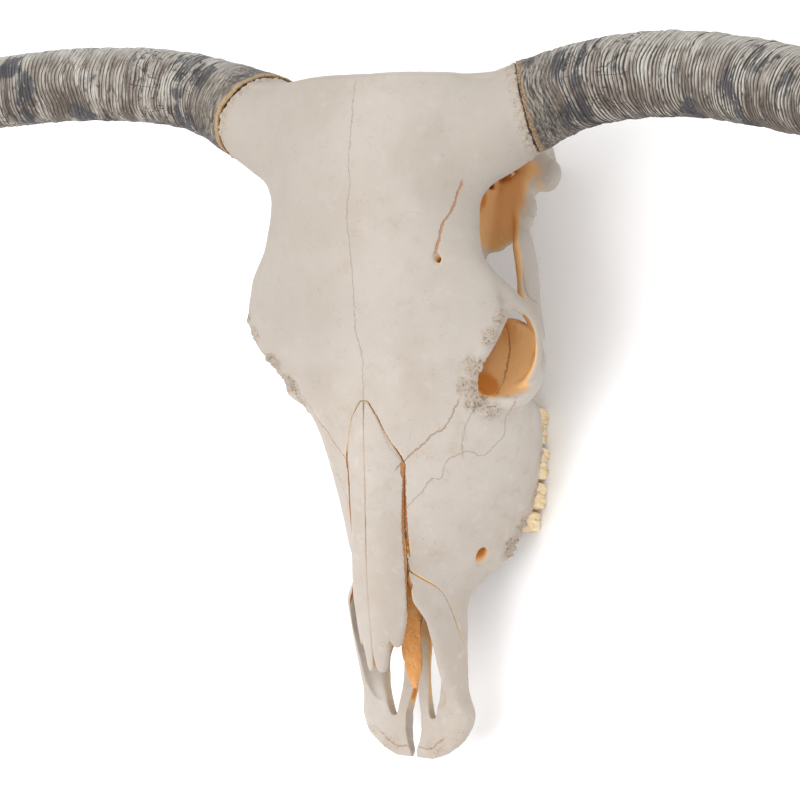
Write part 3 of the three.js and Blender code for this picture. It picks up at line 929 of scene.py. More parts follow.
@dataclass(frozen=True)
class Face:
    """The long form of the skull from poll to muzzle, and the nasal cavity in it."""

    form: tuple[Station, ...] = (
        ring(-2, 183, [(38, 181), (66, 172), (74, 158), (56, 150), (36, 147), (16, 146)], 146),
        ring(-8, 196, [(50, 192), (86, 175), (86, 146), (64, 118), (44, 108), (20, 105)], 105),
        ring(-25, 198, [(60, 192.5), (97, 170), (86, 134), (64, 98), (48, 72), (24, 66)], 66),
        ring(-60, 197.5, [(62, 192), (95, 167), (72, 130), (62, 92), (48, 66), (24, 58)], 58),
        ring(-97, 194, [(58, 190), (90, 160), (63, 130), (58, 92), (46, 68), (22, 60)], 60),
        ring(-125, 187.5, [(60, 184), (94, 159), (60, 128), (52, 94), (42, 70), (20, 63)], 63),
        ring(-150, 179.5, [(64, 174), (106, 155), (57, 126), (48, 96), (38, 72), (18, 65)], 65),
        ring(-176, 171, [(64, 166), (112, 150), (55, 124), (46, 94), (36, 72), (17, 66)], 66),
        ring(-196, 164.5, [(54, 160), (104, 148), (58, 118), (50, 88), (38, 70), (18, 65)], 65),
        ring(-212, 159, [(42, 156), (91, 138), (84, 102), (64, 42), (48, 38), (30, 44)], 47),
        ring(-230, 153, [(30, 150), (77, 127), (90, 84), (71, 22), (46, 20), (36, 29)], 33),
        ring(-258, 147.5, [(25, 140), (61, 116), (85, 68), (74, 20), (46, 19), (35, 27)], 31),
        ring(-288, 142, [(24, 128), (53, 106), (80, 54), (73, 20), (46, 19), (34, 26)], 30),
        ring(-316, 137, [(24, 121.5), (46, 99), (69, 50), (66, 23), (46, 22), (32, 27)], 31),
        ring(-340, 132, [(24, 114), (42, 92), (58, 56), (59, 30), (44, 28), (28, 30)], 33),
        ring(-360, 124, [(24.5, 106), (39, 84), (45, 60), (44, 42), (36, 35), (20, 34)], 35),
        ring(-376, 108, [(28.5, 106), (38.5, 86), (42, 62), (38.5, 46), (30, 39), (16, 37)], 37),
        ring(-394, 94, [(34, 94), (40, 81), (42.5, 60), (39, 45.5), (29, 39), (14, 39)], 39),
        ring(-407, 86, [(35.5, 86), (40.8, 76), (42.8, 56), (39.5, 45), (29, 39), (13, 40)], 40),
        ring(-420, 78, [(36, 78), (41.2, 70), (43, 52), (40, 43), (30, 39), (12, 40.5)], 41),
        ring(-438, 67, [(36, 67), (42, 60.5), (44, 48), (42, 41.5), (31, 38), (12, 40)], 41),
        ring(-459, 51, [(24, 52), (41, 53), (48, 45.5), (48.5, 39.5), (36, 35.5), (14, 38)], 39),
        ring(-475, 48, [(18, 48), (34, 49), (43, 45.5), (43, 40), (29, 36), (12, 37)], 37.5),
        ring(-487, 46, [(10, 46), (21, 45.8), (29.5, 43.5), (29.5, 40.2), (19, 38), (8, 38)], 38),
        ring(-493, 44, [(6, 44), (12, 43.6), (16, 42.6), (16, 41), (10, 40), (5, 40)], 40),
    )
    cavity: tuple[Station, ...] = (
        ring(-204, 58, [(10, 57), (17, 50), (18, 43), (10, 36)], 34),
        ring(-236, 66, [(12, 64), (19, 56), (20, 46), (12, 39)], 37),
        ring(-268, 100, [(9, 96), (18, 82), (20, 58), (12, 42)], 39),
        ring(-306, 124, [(14, 121), (22, 108), (33, 70), (22, 46)], 42),
        ring(-340, 134, [(20, 130), (23, 106), (34, 70), (24, 47)], 43),
        ring(-360, 140, [(22, 136), (22.5, 101), (33, 70), (26, 48)], 44),
        ring(-376, 140, [(27.5, 136), (27, 103), (31, 78), (26, 50)], 47),
        ring(-394, 140, [(34.2, 136), (33, 90), (29, 72), (25, 53.5)], 50.5),
        ring(-407, 140, [(34.8, 136), (33.5, 82), (29, 67), (24, 55)], 53),
        ring(-420, 140, [(34.8, 136), (33.5, 74), (28, 62), (22, 54)], 53),
        ring(-438, 140, [(35, 136), (33.5, 64), (27, 57), (20, 51.5)], 50.8),
        ring(-450, 140, [(34, 136), (32, 57), (24, 53.5), (12, 50.8)], 50.4),
        ring(-466, 140, [(24, 136), (18, 60), (12, 52), (6, 50.4)], 50.2),
    )
    # Left side of the slit between the palatine processes, as (half width, y).
    slit: tuple[Pair, ...] = (
        (2.4, -504), (2.4, -488), (5.2, -481), (6.8, -472), (6, -460), (3.8, -450), (1.4, -440),
        (0.15, -400))
    # Palatine fissure, as (x, y, half width).
    fissure: tuple[Point, ...] = (
        (13, -401, 2), (17.5, -416, 6), (18.5, -438, 6.5), (18, -452, 4.5), (17.5, -462, 1.5))
    # Hollow under the palatine process.
    undercut: Knots = (
        Knot((19, -398, 40), (12, 5)), Knot((19, -416, 39.5), (19, 8.2)), Knot((17, -438, 37), (19, 8.2)),
        Knot((15, -458, 34.5), (15, 6)))
    # Edge between cheek bone and incisive bone, as (y, z).
    joint: tuple[Pair, ...] = (
        (-330, 160), (-357, 106), (-361.6, 98), (-368, 86), (-383.4, 72), (-398, 62), (-406.5, 54),
        (-421, 48), (-432, 42), (-446, 20))
    # Inside this x, ahead of this y and below this z, the palatine processes reach back past that edge.
    process: Point = (13, -384, 60)

    def fill(self, block: Volume) -> None:
        """Put the form, less its cavity and fissures, into an empty block.

        Args:
            block: the empty block.
        """
        block.add(Loft(self.form))
        block.cut(Loft(self.cavity), 1.0)
        inner = [(x - r, y) for x, y, r in self.fissure]
        outer = [(x + r, y) for x, y, r in reversed(self.fissure)]
        block.cut(Outline(tuple(inner + outer), 20, 75), 2.0)
        block.cut(Tube(self.undercut), 3.0)

    def ahead(self, axes: Axes) -> Array:
        """Measure how far grid points lie ahead of the joint, toward the muzzle.

        Args:
            axes: the grid's places along x, y and z.

        Returns:
            Distances, below 0 behind the joint.
        """
        y, z = np.meshgrid(axes[1], axes[2], indexing="ij")
        best = np.full(y.shape, 1e9)
        out = np.zeros(y.shape)
        line = smooth_path(np.array(self.joint), 5)
        for (ay, az), (by, bz) in zip(line[:-1], line[1:]):
            ey, ez = by - ay, bz - az
            t = np.clip(((y - ay) * ey + (z - az) * ez) / (ey * ey + ez * ez), 0, 1)
            gap = np.hypot(y - ay - t * ey, z - az - t * ez)
            cross = (y - ay) * ez - (z - az) * ey
            out = np.where(gap < best, np.sign(cross) * gap, out)
            best = np.minimum(best, gap)
        aside, behind, above = self.process
        aside, behind = aside - axes[0][:, None, None], behind - axes[1][None, :, None]
        above = above - axes[2][None, None, :]
        return np.maximum(out[None], np.minimum(np.minimum(aside, behind), above))


@dataclass(frozen=True)
class NasalRoof(Form):
    """One nasal bone as a thin arched plate, or the bed that it lies in."""

    # Ridge height, reach to the side and height at the side edge, by y.
    rows: tuple[tuple[float, float, float, float], ...] = (
        (-237, 151.5, 3, 151.3), (-248, 150.2, 10.5, 149.2), (-262, 147.5, 17, 142.5), (-279, 144, 25, 129.5),
        (-300, 140, 24, 125), (-322, 136, 24, 120), (-345, 131.5, 24.5, 114.5), (-370, 125.5, 25, 109),
        (-396, 118, 21.5, 104), (-410, 114, 17.5, 103), (-417, 111.5, 15, 102.5), (-424, 109.2, 12, 102),
        (-432, 106.5, 10, 101),
    )
    # The ragged free end, as (x, y).
    tip: tuple[Pair, ...] = (
        (23.4, -372), (22.8, -384), (21, -396), (18.8, -406), (17.2, -411), (15.4, -413), (13.6, -411),
        (12.4, -407.5), (11.2, -410), (9.8, -418), (8.2, -426), (6.2, -430.5), (4.2, -431.5), (2.2, -429),
        (1, -424), (0.3, -420))
    crack: float = 1.5
    inner: float = 0.15
    grow: float = 0.0
    lift: float = 0.0
    drop: float = 4.5
    soft: float = 0.7

    @classmethod
    def bed(cls) -> "NasalRoof":
        """Return the space that both bones lie in, open above."""
        return cls(inner=-3.0, grow=GAP, lift=40.0, drop=cls.drop + GAP)

    def box(self) -> Box:
        """Return its corners."""
        return np.array([0.0, -434.0, 92.0]), np.array([28.0, -234.0, 155.0 + self.lift])

    def distance(self, axes: Axes) -> Array:
        """Measure against the plan and against the arch."""
        table = np.array(sorted(self.rows))
        along = np.clip(axes[1], table[0, 0], table[-1, 0])
        ridge, wide, edge = (v[None, :, None] for v in pchip(table[:, 0], table[:, 1:], along).T)
        x, z = axes[0][:, None, None], axes[2][None, None, :]
        height = ridge - (ridge - edge) * (np.maximum(x, 0) / wide) ** 2
        steep = np.sqrt(1 + (2 * (ridge - edge) * np.maximum(x, 0) / wide ** 2) ** 2)
        roof = np.maximum(z - height - self.lift, height - self.drop - z) / np.minimum(steep, 3)
        if self.lift:
            side = x - wide - self.grow
            plan = np.maximum(np.maximum(side, self.inner - x), (axes[1] - table[-1, 0])[None, :, None])
        else:
            side = [(w - self.crack * float(smoothstep(-282, -330, np.array(y))), y)
                    for y, _, w, _ in self.rows if y > -372]
            loop = np.array([(0.1, -236.6), *side, *self.tip, (0.1, -405)])
            plan = plan_distance(axes[0], axes[1], loop)[:, :, None]
            plan = np.maximum(plan, self.inner - x)
        soft = self.soft
        both = np.hypot(np.maximum(plan + soft, 0), np.maximum(roof + soft, 0)) - soft
        return np.where((plan > -soft) | (roof > -soft), both, np.maximum(plan, roof)).astype(np.float32)


@dataclass(frozen=True)
class Cranium:
    """Everything but the nasal bones, the incisive bones and the horn sheaths."""

    face: Face = Face()
    low: Point = (0.0, -452.0, -3.6)
    high: Point = (147.0, 18.0, 206.0)
    nuchal: tuple[Station, ...] = (
        ring(-1, 176, [(36, 174), (60, 160), (56, 138), (66, 108), (70, 84), (44, 64)], 62),
        ring(-9, 190, [(52, 187), (88, 165), (76, 138), (92, 106), (94, 80), (62, 56)], 50),
        ring(-34, 190, [(56, 187), (94, 165), (74, 134), (93, 102), (96, 76), (64, 52)], 48),
        ring(-54, 188, [(56, 184), (86, 162), (66, 128), (78, 100), (84, 80), (50, 56)], 50),
    )
    basilar: tuple[Station, ...] = (
        ring(-6, 74, [(12, 72), (15, 62), (12, 55)], 54), ring(-40, 76, [(20, 74), (24, 60), (18, 47)], 48),
        ring(-80, 78, [(16, 76), (20, 62), (14, 53)], 53), ring(-140, 80, [(14, 78), (17, 66), (10, 58)], 58),
        ring(-216, 82, [(14, 80), (16, 70), (9, 62)], 62),
    )
    # The stump that each horn grows from, the core that its sheath sits on, and how far in the stump
    # lies under the sheath.
    pedicle: Knots = knots((70, -48, 156, 40, 22), (92, -38, 155, 37, 30))
    core: Knots = knots(
        (92, -34, 153, 24.5, 24.5), (110, -28, 152.6, 25.8, 25.8), (126, -22.2, 152.4, 25.8, 25.8),
        (150, -14.6, 153.3, 23.8, 23.8))
    inset: float = 1.1
    # The eye socket: its rim, its hollow and the bone round them.
    orbit_rim: Knots = knots(
        (112, -163.5, 141, 5.5, 6), (100, -190.5, 147, 6, 6), (80, -218, 136, 5.5, 5.5),
        (76, -229, 119, 5, 5), (79, -229, 104, 4.5, 5), (90, -222.5, 95, 3.6, 4.5),
        (102, -215.3, 96.5, 3, 4), (113.4, -203.5, 102.5, 2.6, 3.6), (119, -190.5, 109.5, 2.4, 3.6),
        (121.7, -178.5, 117.5, 2.6, 4.2), (119.2, -168, 127, 3.6, 5.2))
    orbit_hollow: Knots = knots(
        (136, -203, 127, 36, 33), (106, -199, 124, 34, 29.5), (86, -193, 121, 32, 27),
        (62, -178, 112, 19, 17), (46, -168, 106, 8, 8))
    rim_foot: Ball = Ball((110.5, -200, 94.5), (4.5, 9, 6))
    socket_floor: Ball = Ball((68, -206, 84), (18, 26, 18))
    brow_process: Knots = knots(
        (90, -146, 156, 11, 7), (101, -152.5, 149, 9, 7), (109.5, -158.5, 141, 7, 6.5),
        (116, -164.5, 132, 5, 6))
    # The cheek arch, and the temple behind it.
    arch: Knots = knots(
        (112, -180, 104, 5, 10), (102, -156, 100, 6, 11), (97, -134, 98, 6, 11), (91, -114, 97, 6, 11),
        (83, -96, 92, 5, 8.5), (79, -78, 88, 6, 7.5), (88, -57, 86, 14, 11.5), (74, -40, 84, 14, 14))
    fossa_bowl: Ball = Ball((74, -84, 119), (27, 36, 24))
    shelf: Knots = knots(
        (44, -82, 82, 36, 14), (62, -82, 84, 34, 11), (74, -80, 88, 26, 9), (82, -69, 91, 11, 8))
    # The base: what the skull stands on, the canal of the spine and the plates of the palate.
    condyle: Ball = Ball((30, -10, 74), (20, 15, 25))
    jugular: Knots = knots(
        (66, -24, 66, 12, 13), (63, -29, 40, 6, 13), (58, -35, 16, 4.5, 9), (55, -38, 4.5, 3, 4.5))
    canal: Knots = knots(
        (0, 22, 88, 20, 17.5), (0, -12, 90, 19.5, 17.5), (0, -34, 94, 21, 18), (0, -52, 98, 12, 11))
    pterygoid: tuple[Blade, ...] = (
        Blade(-160, 22, 30, 68, 1.6), Blade(-172, 24, 19, 70, 2.2), Blade(-196, 25, 24, 70, 2.4),
        Blade(-222, 28, 28, 60, 3))
    vomer: tuple[Blade, ...] = (
        Blade(-150, 0, 54, 70, 1.8), Blade(-200, 0, 46, 72, 1.8), Blade(-262, 0, 34, 70, 1.8))
    # Cheek bone, jaw joint and ear capsule, each with how softly it joins the rest.
    swellings: tuple[tuple[Ball, float], ...] = (
        (Ball((86, -202, 98), (29, 34, 24)), 8.0), (Ball((99, -60, 86), (11.5, 13, 9)), 6.0),
        (Ball((42, -62, 46), (12, 17, 15)), 5.0))
    # The vessel's groove and hole over the left brow, the notch over the right one, and the holes in the
    # cheek and the temple.
    brow_groove: Knots = knots(
        (88, -68, 176.5, 1.2, 1.2), (84, -87, 177.5, 1.4, 1.4), (79, -104, 180, 1.5, 1.5),
        (73, -122, 181, 1.4, 1.8), (71.5, -128, 180, 1.2, 2.2))
    brow_hole: Knots = knots(
        (69, -135, 182, 2.4, 2.8), (70, -138, 172, 2.4, 2.8), (72, -143, 160, 2, 2.4))
    brow_notch: Knots = knots(
        (-61, -133, 185, 1.6, 2.6), (-62, -139, 181.5, 2, 2.6), (-63, -146, 182, 1.2, 1.6))
    cheek_hole: Knots = knots(
        (64, -358, 57, 7, 4), (58.5, -345, 60, 6, 4.8), (49, -331, 62, 4.5, 4.5))
    fossa_hole: Knots = knots((66, -71, 102, 2.4, 2.2), (54, -69, 94, 2.2, 2))

    def sculpt(self, horns: Sequence["HornSheath"]) -> tuple[Volume, Volume]:
        """Model the bone, solid where no opening shows its inside.

        Args:
            horns: the sheaths that sit on it.

        Returns:
            The cranium, and the whole skull that shades it.
        """
        block = Volume(self.low, self.high, STEP)
        self.face.fill(block)
        muzzle = block.copy()
        block.keep(self.face.ahead(block.axes) + GAP / 2)
        self._rear(block)
        self._cheek(block)
        self._cuts(block)
        shade = block.copy()
        shade.values = np.minimum(shade.values, muzzle.values)
        shade.add(NasalRoof())
        whole = block.mirrored()
        whole.cut(Tube(self.brow_groove), 1.0)
        whole.cut(Tube(self.brow_hole, up=(0, 1, 0)), 1.0)
        whole.cut(Tube(self.brow_notch), 1.5)
        for horn in horns:
            self._seat(whole, horn)
        return whole, shade.mirrored()

    def _rear(self, block: Volume) -> None:
        """Add the back of the skull and what hangs from it.

        Args:
            block: the block to work on.
        """
        block.add(Loft(self.nuchal), 5.0)
        block.add(Loft(self.basilar), 4.0)
        for form, blend in self.swellings:
            block.add(form, blend)
        block.add(Tube(self.shelf), 6.0)
        block.add(Tube(self.jugular, up=(0, -1, 0)), 5.0)
        block.add(Fin(self.pterygoid), 3.0)
        block.add(Fin(self.vomer), 2.0)

    def _seat(self, whole: Volume, horn: "HornSheath") -> None:
        """Grow one horn's stump, trim it to the sheath's edge and set the core that the sheath sits on.

        Args:
            whole: the block with both sides of the skull.
            horn: the sheath.
        """
        sign = -1.0 if horn.mirror else 1.0
        covered = tuple(Knot((x, y, z), (r - self.inset, r - self.inset)) for x, y, z, r in horn.line[2:5])
        stump = tuple(Knot((sign * k.at[0], *k.at[1:]), k.r) for k in self.pedicle + covered)
        whole.add(Tube(stump), 12.0)
        room = Tube(tuple(Knot((sign * x, y, z), (r + 8, r + 8)) for x, y, z, r in horn.line[:5]))
        spans, axes = whole.window(room, 4.0)
        past = horn.edge.past(np.stack(np.meshgrid(axes[0] * sign, axes[1], axes[2], indexing="ij"), axis=-1))
        plug = np.maximum(room.distance(axes), -past - GAP)
        whole.values[spans] = -soften(-whole.values[spans], plug.astype(np.float32), 1.2)
        core = tuple(Knot((sign * k.at[0], *k.at[1:]), k.r) for k in self.core)
        whole.add(Tube(core), 1.0)

    def _cheek(self, block: Volume) -> None:
        """Add the cheek arch, hollow the eye socket, raise its rim, then round off floor and condyle.

        Args:
            block: the block to work on.
        """
        block.add(Tube(self.arch), 4.0)
        block.cut(self.fossa_bowl, 6.0)
        block.cut(Tube(self.orbit_hollow), 4.0)
        block.add(Tube(self.brow_process), 5.0)
        block.add(Tube(self.orbit_rim, closed=True), 3.0)
        block.add(self.rim_foot, 3.0)
        block.add(self.socket_floor, 6.0)
        block.add(self.condyle, 3.0)

    def _cuts(self, block: Volume) -> None:
        """Cut the canal, the holes in cheek and temple and the bed of the nasal bones.

        Args:
            block: the block to work on.
        """
        block.cut(Tube(self.canal), 3.0)
        block.cut(Tube(self.cheek_hole), 3.0)
        block.cut(Tube(self.fossa_hole), 2.0)
        block.cut(NasalRoof.bed())
        block.values = np.maximum(block.values, -block.axes[2][None, None, :].astype(np.float32))

    def build(self, finish: Material, horns: Sequence["HornSheath"]) -> Volume:
        """Make the cranium's object.

        Args:
            finish: the material of bone.
            horns: the sheaths that sit on it.

        Returns:
            The block, which other bones are shaded by.
        """
        block, shade = self.sculpt(horns)
        skin = settle(without_crumbs(surface_net(block)), block)
        facts = bone_facts(skin, shade)
        for horn in horns:
            rough = facts["wear"][:, 1]
            facts["wear"][:, 1] = np.maximum(rough, horn.beside(skin.points))
        skin = Weathering().wear(skin, facts["wear"])
        Piece("cranium_bone", skin, Slot.BONE, ("cranium",), facts).build(finish)
        return shade


@dataclass(frozen=True)
class Weathering:
    """Unevenness of old bone, in millimetres."""

    broad: float = 0.7
    fine: float = 0.16
    rough: float = 1.5

    def wear(self, skin: Skin, wear: Array) -> Skin:
        """Move the skin's points a little in and out.

        Args:
            skin: the smooth skin.
            wear: rows of shelter, roughness and stain for each point.

        Returns:
            The uneven skin.
        """
        normals = skin.normals()
        move = self.broad * Noise(11).layered(skin.points, 46.0, 2)
        move += self.fine * Noise(23).layered(skin.points, 9.0, 2)
        pits = np.abs(Noise(37).layered(skin.points, 4.6, 2))
        move -= self.rough * wear[:, 1] * (0.9 - 2.4 * pits)
        return Skin(skin.points + move[:, None] * normals, skin.faces)


# Places where the bone is spongy or pitted: centre, reach and most.
ROUGH_PLACES = (
    (104, -44, 132, 22, 0.9), (104, -190, 153, 10, 0.8), (90, -210, 145, 12, 1.0), (79, -224, 136, 13, 1.0),
    (80, -234, 124, 13, 1.0), (84, -238, 110, 12, 0.8), (112, -176, 152, 9, 0.8), (84, -20, 90, 26, 0.55),
    (60, -6, 60, 26, 0.5), (60, -232, 22, 16, 0.6), (60, -300, 22, 18, 0.55), (76, -262, 26, 12, 0.7),
    (72, -290, 26, 16, 0.9), (66, -312, 28, 17, 1.0), (61, -330, 34, 15, 1.0), (40, -476, 44, 12, 0.5),
    (20, -486, 44, 12, 0.5))

# Places where the bone has kept its brown: centre, reach and most.
STAINED_PLACES = (
    (60, -90, 112, 40, 1.0), (80, -64, 100, 30, 1.0), (86, -128, 104, 24, 0.8), (98, -198, 112, 38, 1.0),
    (8, -390, 66, 40, 1.0), (20, -350, 88, 34, 1.0), (24, -340, 116, 10, 1.0), (24, -370, 110, 10, 1.0))


def bone_facts(skin: Skin, block: Volume) -> dict[str, Array]:
    """Work out what the finish of bone needs to know about each point.

    Args:
        skin: the surface.
        block: the solid that shelters it.

    Returns:
        The named facts.
    """
    facts = seam_facts(skin, SEAMS)
    covered = relaxed_fact(skin, shelter(block, skin), 3)
    rough, stained = marked(skin.points, ROUGH_PLACES), marked(skin.points, STAINED_PLACES)
    return {**facts, "wear": np.stack([covered, rough, stained], axis=1)}


def marked(points: Array, places: Sequence[Sequence[float]]) -> Array:
    """Find how far points lie within round places.

    Args:
        points: where to look.
        places: rows of x, y, z, reach and greatest value, for both sides.

    Returns:
        A value for each point.
    """
    found = np.zeros(len(points))
    for x, y, z, reach, most in places:
        for sign in (1, -1):
            away = np.linalg.norm(points - [sign * x, y, z], axis=1)
            found = np.maximum(found, most * (1 - smoothstep(0.45 * reach, reach, away)))
    return found


def relaxed_fact(skin: Skin, fact: Array, rounds: int) -> Array:
    """Smooth one number per point over its neighbours.

    Args:
        skin: the skin.
        fact: a number for each point.
        rounds: how many times.

    Returns:
        The smoother numbers.
    """
    for _ in range(rounds):
        stacked = Skin(np.stack([fact, fact, fact], axis=1), skin.faces)
        fact = relaxed(stacked, 0.7)[:, 0]
    return fact


@dataclass(frozen=True)
class NasalBones:
    """The two nasal bones."""

    roof: NasalRoof = NasalRoof()
    step: float = 0.8

    def build(self, finish: Material, shade: Volume) -> None:
        """Make both plates.

        Args:
            finish: the material.
            shade: the solid that shelters them.
        """
        block = Volume((-2.0, -436.0, 90.0), (30.0, -232.0, 158.0), self.step)
        block.add(self.roof)
        left = settle(surface_net(block), block, 1)
        for name, skin in (("left", left), ("right", mirrored_skin(left))):
            facts = bone_facts(skin, shade)
            worn = Weathering(rough=0.2).wear(skin, facts["wear"])
            Piece(f"nasal_bone_{name}", worn, Slot.BONE, (f"nasal_{name}",), facts).build(finish)


@dataclass(frozen=True)
class IncisiveBones:
    """The two toothless bones at the tip of the upper jaw."""

    face: Face = Face()
    step: float = 0.8
    low: Point = (-2.0, -497.0, 30.0)
    high: Point = (52.0, -330.0, 128.0)
    apart: float = 0.15

    def build(self, finish: Material, shade: Volume) -> None:
        """Make both bones.

        Args:
            finish: the material.
            shade: the solid that shelters them.
        """
        block = Volume(self.low, self.high, self.step)
        self.face.fill(block)
        block.keep(GAP / 2 - self.face.ahead(block.axes))
        block.cut(NasalRoof.bed())
        right = [(-w, y) for w, y in reversed(self.face.slit)]
        block.cut(Outline(tuple(list(self.face.slit) + right), 10, 150, soft=False), 0.8)
        block.keep((self.apart - block.axes[0])[:, None, None] * np.ones_like(block.values))
        left = settle(without_crumbs(surface_net(block)), block, 1)
        for name, skin in (("left", left), ("right", mirrored_skin(left))):
            facts = bone_facts(skin, shade)
            worn = Weathering(rough=0.35).wear(skin, facts["wear"])
            piece = Piece(f"incisive_bone_{name}", worn, Slot.BONE, (f"incisive_{name}",), facts)
            piece.build(finish)


@dataclass(frozen=True)
class Teeth:
    """The cheek teeth of both sides."""

    # y, length, outer x and width of each tooth, from front to back.
    rows: tuple[tuple[float, float, float, float], ...] = (
        (-309.5, 15.5, 68.5, 19), (-290, 21, 71.5, 22), (-265.5, 25.5, 71, 22.5), (-237, 28.5, 67.5, 21))
    top: float = 27.0
    step: float = 0.7

    def _crown(self, row: tuple[float, float, float, float]) -> Skin:
        """Make one tooth: two lobes, ribs outside, a ridged bite with two deep cups.

        Args:
            row: its y, length, outer x and width.

        Returns:
            The tooth's skin.
        """
        y, long, outer, wide = row
        middle, half = outer - wide / 2, long / 2
        block = Volume((middle - wide, y - long, -2), (middle + wide, y + long, self.top + 3), self.step)
        for way in (-1, 1):
            plan = self._lobe(middle, y + way * half * 0.48, wide / 2 - 0.6, half * 0.58)
            block.add(Outline(plan, 0.6, self.top), 1.6)
        for way in (-1, -0.05, 0.95):
            block.add(self._rib(middle + wide / 2, y, way, half), 2.0)
        for way in (-1, 1):
            block.cut(self._cup(middle, wide, y, way * half), 1.2)
        x, along, z = np.meshgrid(*block.axes, indexing="ij", sparse=True)
        ridge = 1.5 + 1.3 * np.cos((along - y) / half * 2 * math.pi) - 0.09 * (x - middle)
        block.values = np.maximum(block.values, ridge - z).astype(np.float32)
        return settle(without_crumbs(surface_net(block), 100), block, 1)

    def _rib(self, outer: float, y: float, way: float, half: float) -> Tube:
        """Return one upright rib on the outside of a tooth.

        Args:
            outer: how far out the tooth reaches.
            y: the tooth's middle.
            way: how far along the tooth it stands, from -1 to 1.
            half: half the tooth's length.

        Returns:
            The rib.
        """
        rows = [(outer - 0.8, y + way * (half - 2.2), 4.5, 1.3, 1.3),
                (outer - 1.4, y + way * (half - 2.4), 14, 1.9, 1.9),
                (outer - 2.2, y + way * (half - 2.6), self.top, 1.5, 1.5)]
        return Tube(knots(*rows), up=(0, 1, 0))

    @staticmethod
    def _cup(middle: float, wide: float, y: float, reach: float) -> Tube:
        """Return one hollow in the bite.

        Args:
            middle: x of the tooth's middle.
            wide: its width.
            y: its middle along the row.
            reach: how far from that its end lies, below 0 toward the muzzle.

        Returns:
            The hollow.
        """
        rows = [(middle - wide * 0.16, y + reach * 0.5, -1, 1.5, abs(reach) * 0.24),
                (middle, y + reach * 0.44, 4, 1.1, abs(reach) * 0.2),
                (middle + wide * 0.05, y + reach * 0.44, 8, 0.6, 1.2)]
        return Tube(knots(*rows), up=(1, 0, 0))

    @staticmethod
    def _lobe(x: float, y: float, a: float, b: float) -> tuple[Pair, ...]:
        """Return the plan of one lobe, narrow inside and broad outside.

        Args:
            x: its middle across.
            y: its middle along.
            a: half its width.
            b: half its length.

        Returns:
            The corners of the plan.
        """
        corners = ((1, 0.35), (1, -0.35), (0.5, -0.95), (-0.6, -0.8), (-1, 0), (-0.6, 0.8), (0.5, 0.95))
        return tuple((x + u * a, y + v * b) for u, v in corners)

    def build(self, finish: Material) -> None:
        """Make each tooth on both sides.

        Args:
            finish: the material.
        """
        for number, row in enumerate(self.rows, start=1):
            left = self._crown(row)
            for name, skin in (("left", left), ("right", mirrored_skin(left))):
                Piece(f"tooth_{name}_{number}", skin, Slot.BONE, ("cranium",), {}).build(finish)


@dataclass(frozen=True)
class Turbinate:
    """The thin leaf of bone that is left in the left nostril."""

    leaf: Knots = knots(
        (20, -366, 100, 5, 1.8), (16.5, -384, 92, 7.2, 1.7), (12.5, -406, 81, 7.8, 1.5),
        (11.5, -427, 72, 6, 1.3), (10.5, -441, 66.5, 1.8, 0.9))
    # The way that its broad side faces.
    facing: Point = (0.557, -0.087, 0.826)
    step: float = 0.6

    def build(self, finish: Material) -> None:
        """Make the leaf, puckered along its length.

        Args:
            finish: the material.
        """
        block = Volume((0.0, -446.0, 60.0), (30.0, -358.0, 108.0), self.step)
        block.add(Tube(self.leaf, up=self.facing))
        skin = settle(surface_net(block), block, 1)
        lengthwise = skin.points * [0.5, 0.12, 0.12]
        move = 0.5 * Noise(71).layered(lengthwise, 1.0, 2) + 0.25 * Noise(77).layered(skin.points, 3.0, 2)
        skin = Skin(skin.points + move[:, None] * skin.normals(), skin.faces)
        plain = {name: np.zeros_like(skin.points) for name in ("side", "near", "width")}
        facts = {**plain, "wear": np.tile([0.9, 0.3, 0.0], (len(skin.points), 1))}
        Piece("turbinate_leaf", skin, Slot.BONE, ("cranium",), facts).build(finish)


# ---------- horn sheaths
@dataclass(frozen=True)
class Edge:
    """The slanted plane that a sheath's open end lies in, on the left side."""

    at: Point
    along: Point

    def normal(self) -> Array:
        """Return the plane's unit direction, toward the horn's tip."""
        return np.array(self.along) / np.linalg.norm(self.along)

    def past(self, points: Array) -> Array:
        """Measure how far points lie past the plane, toward the tip."""
        return (points - np.array(self.at)) @ self.normal()


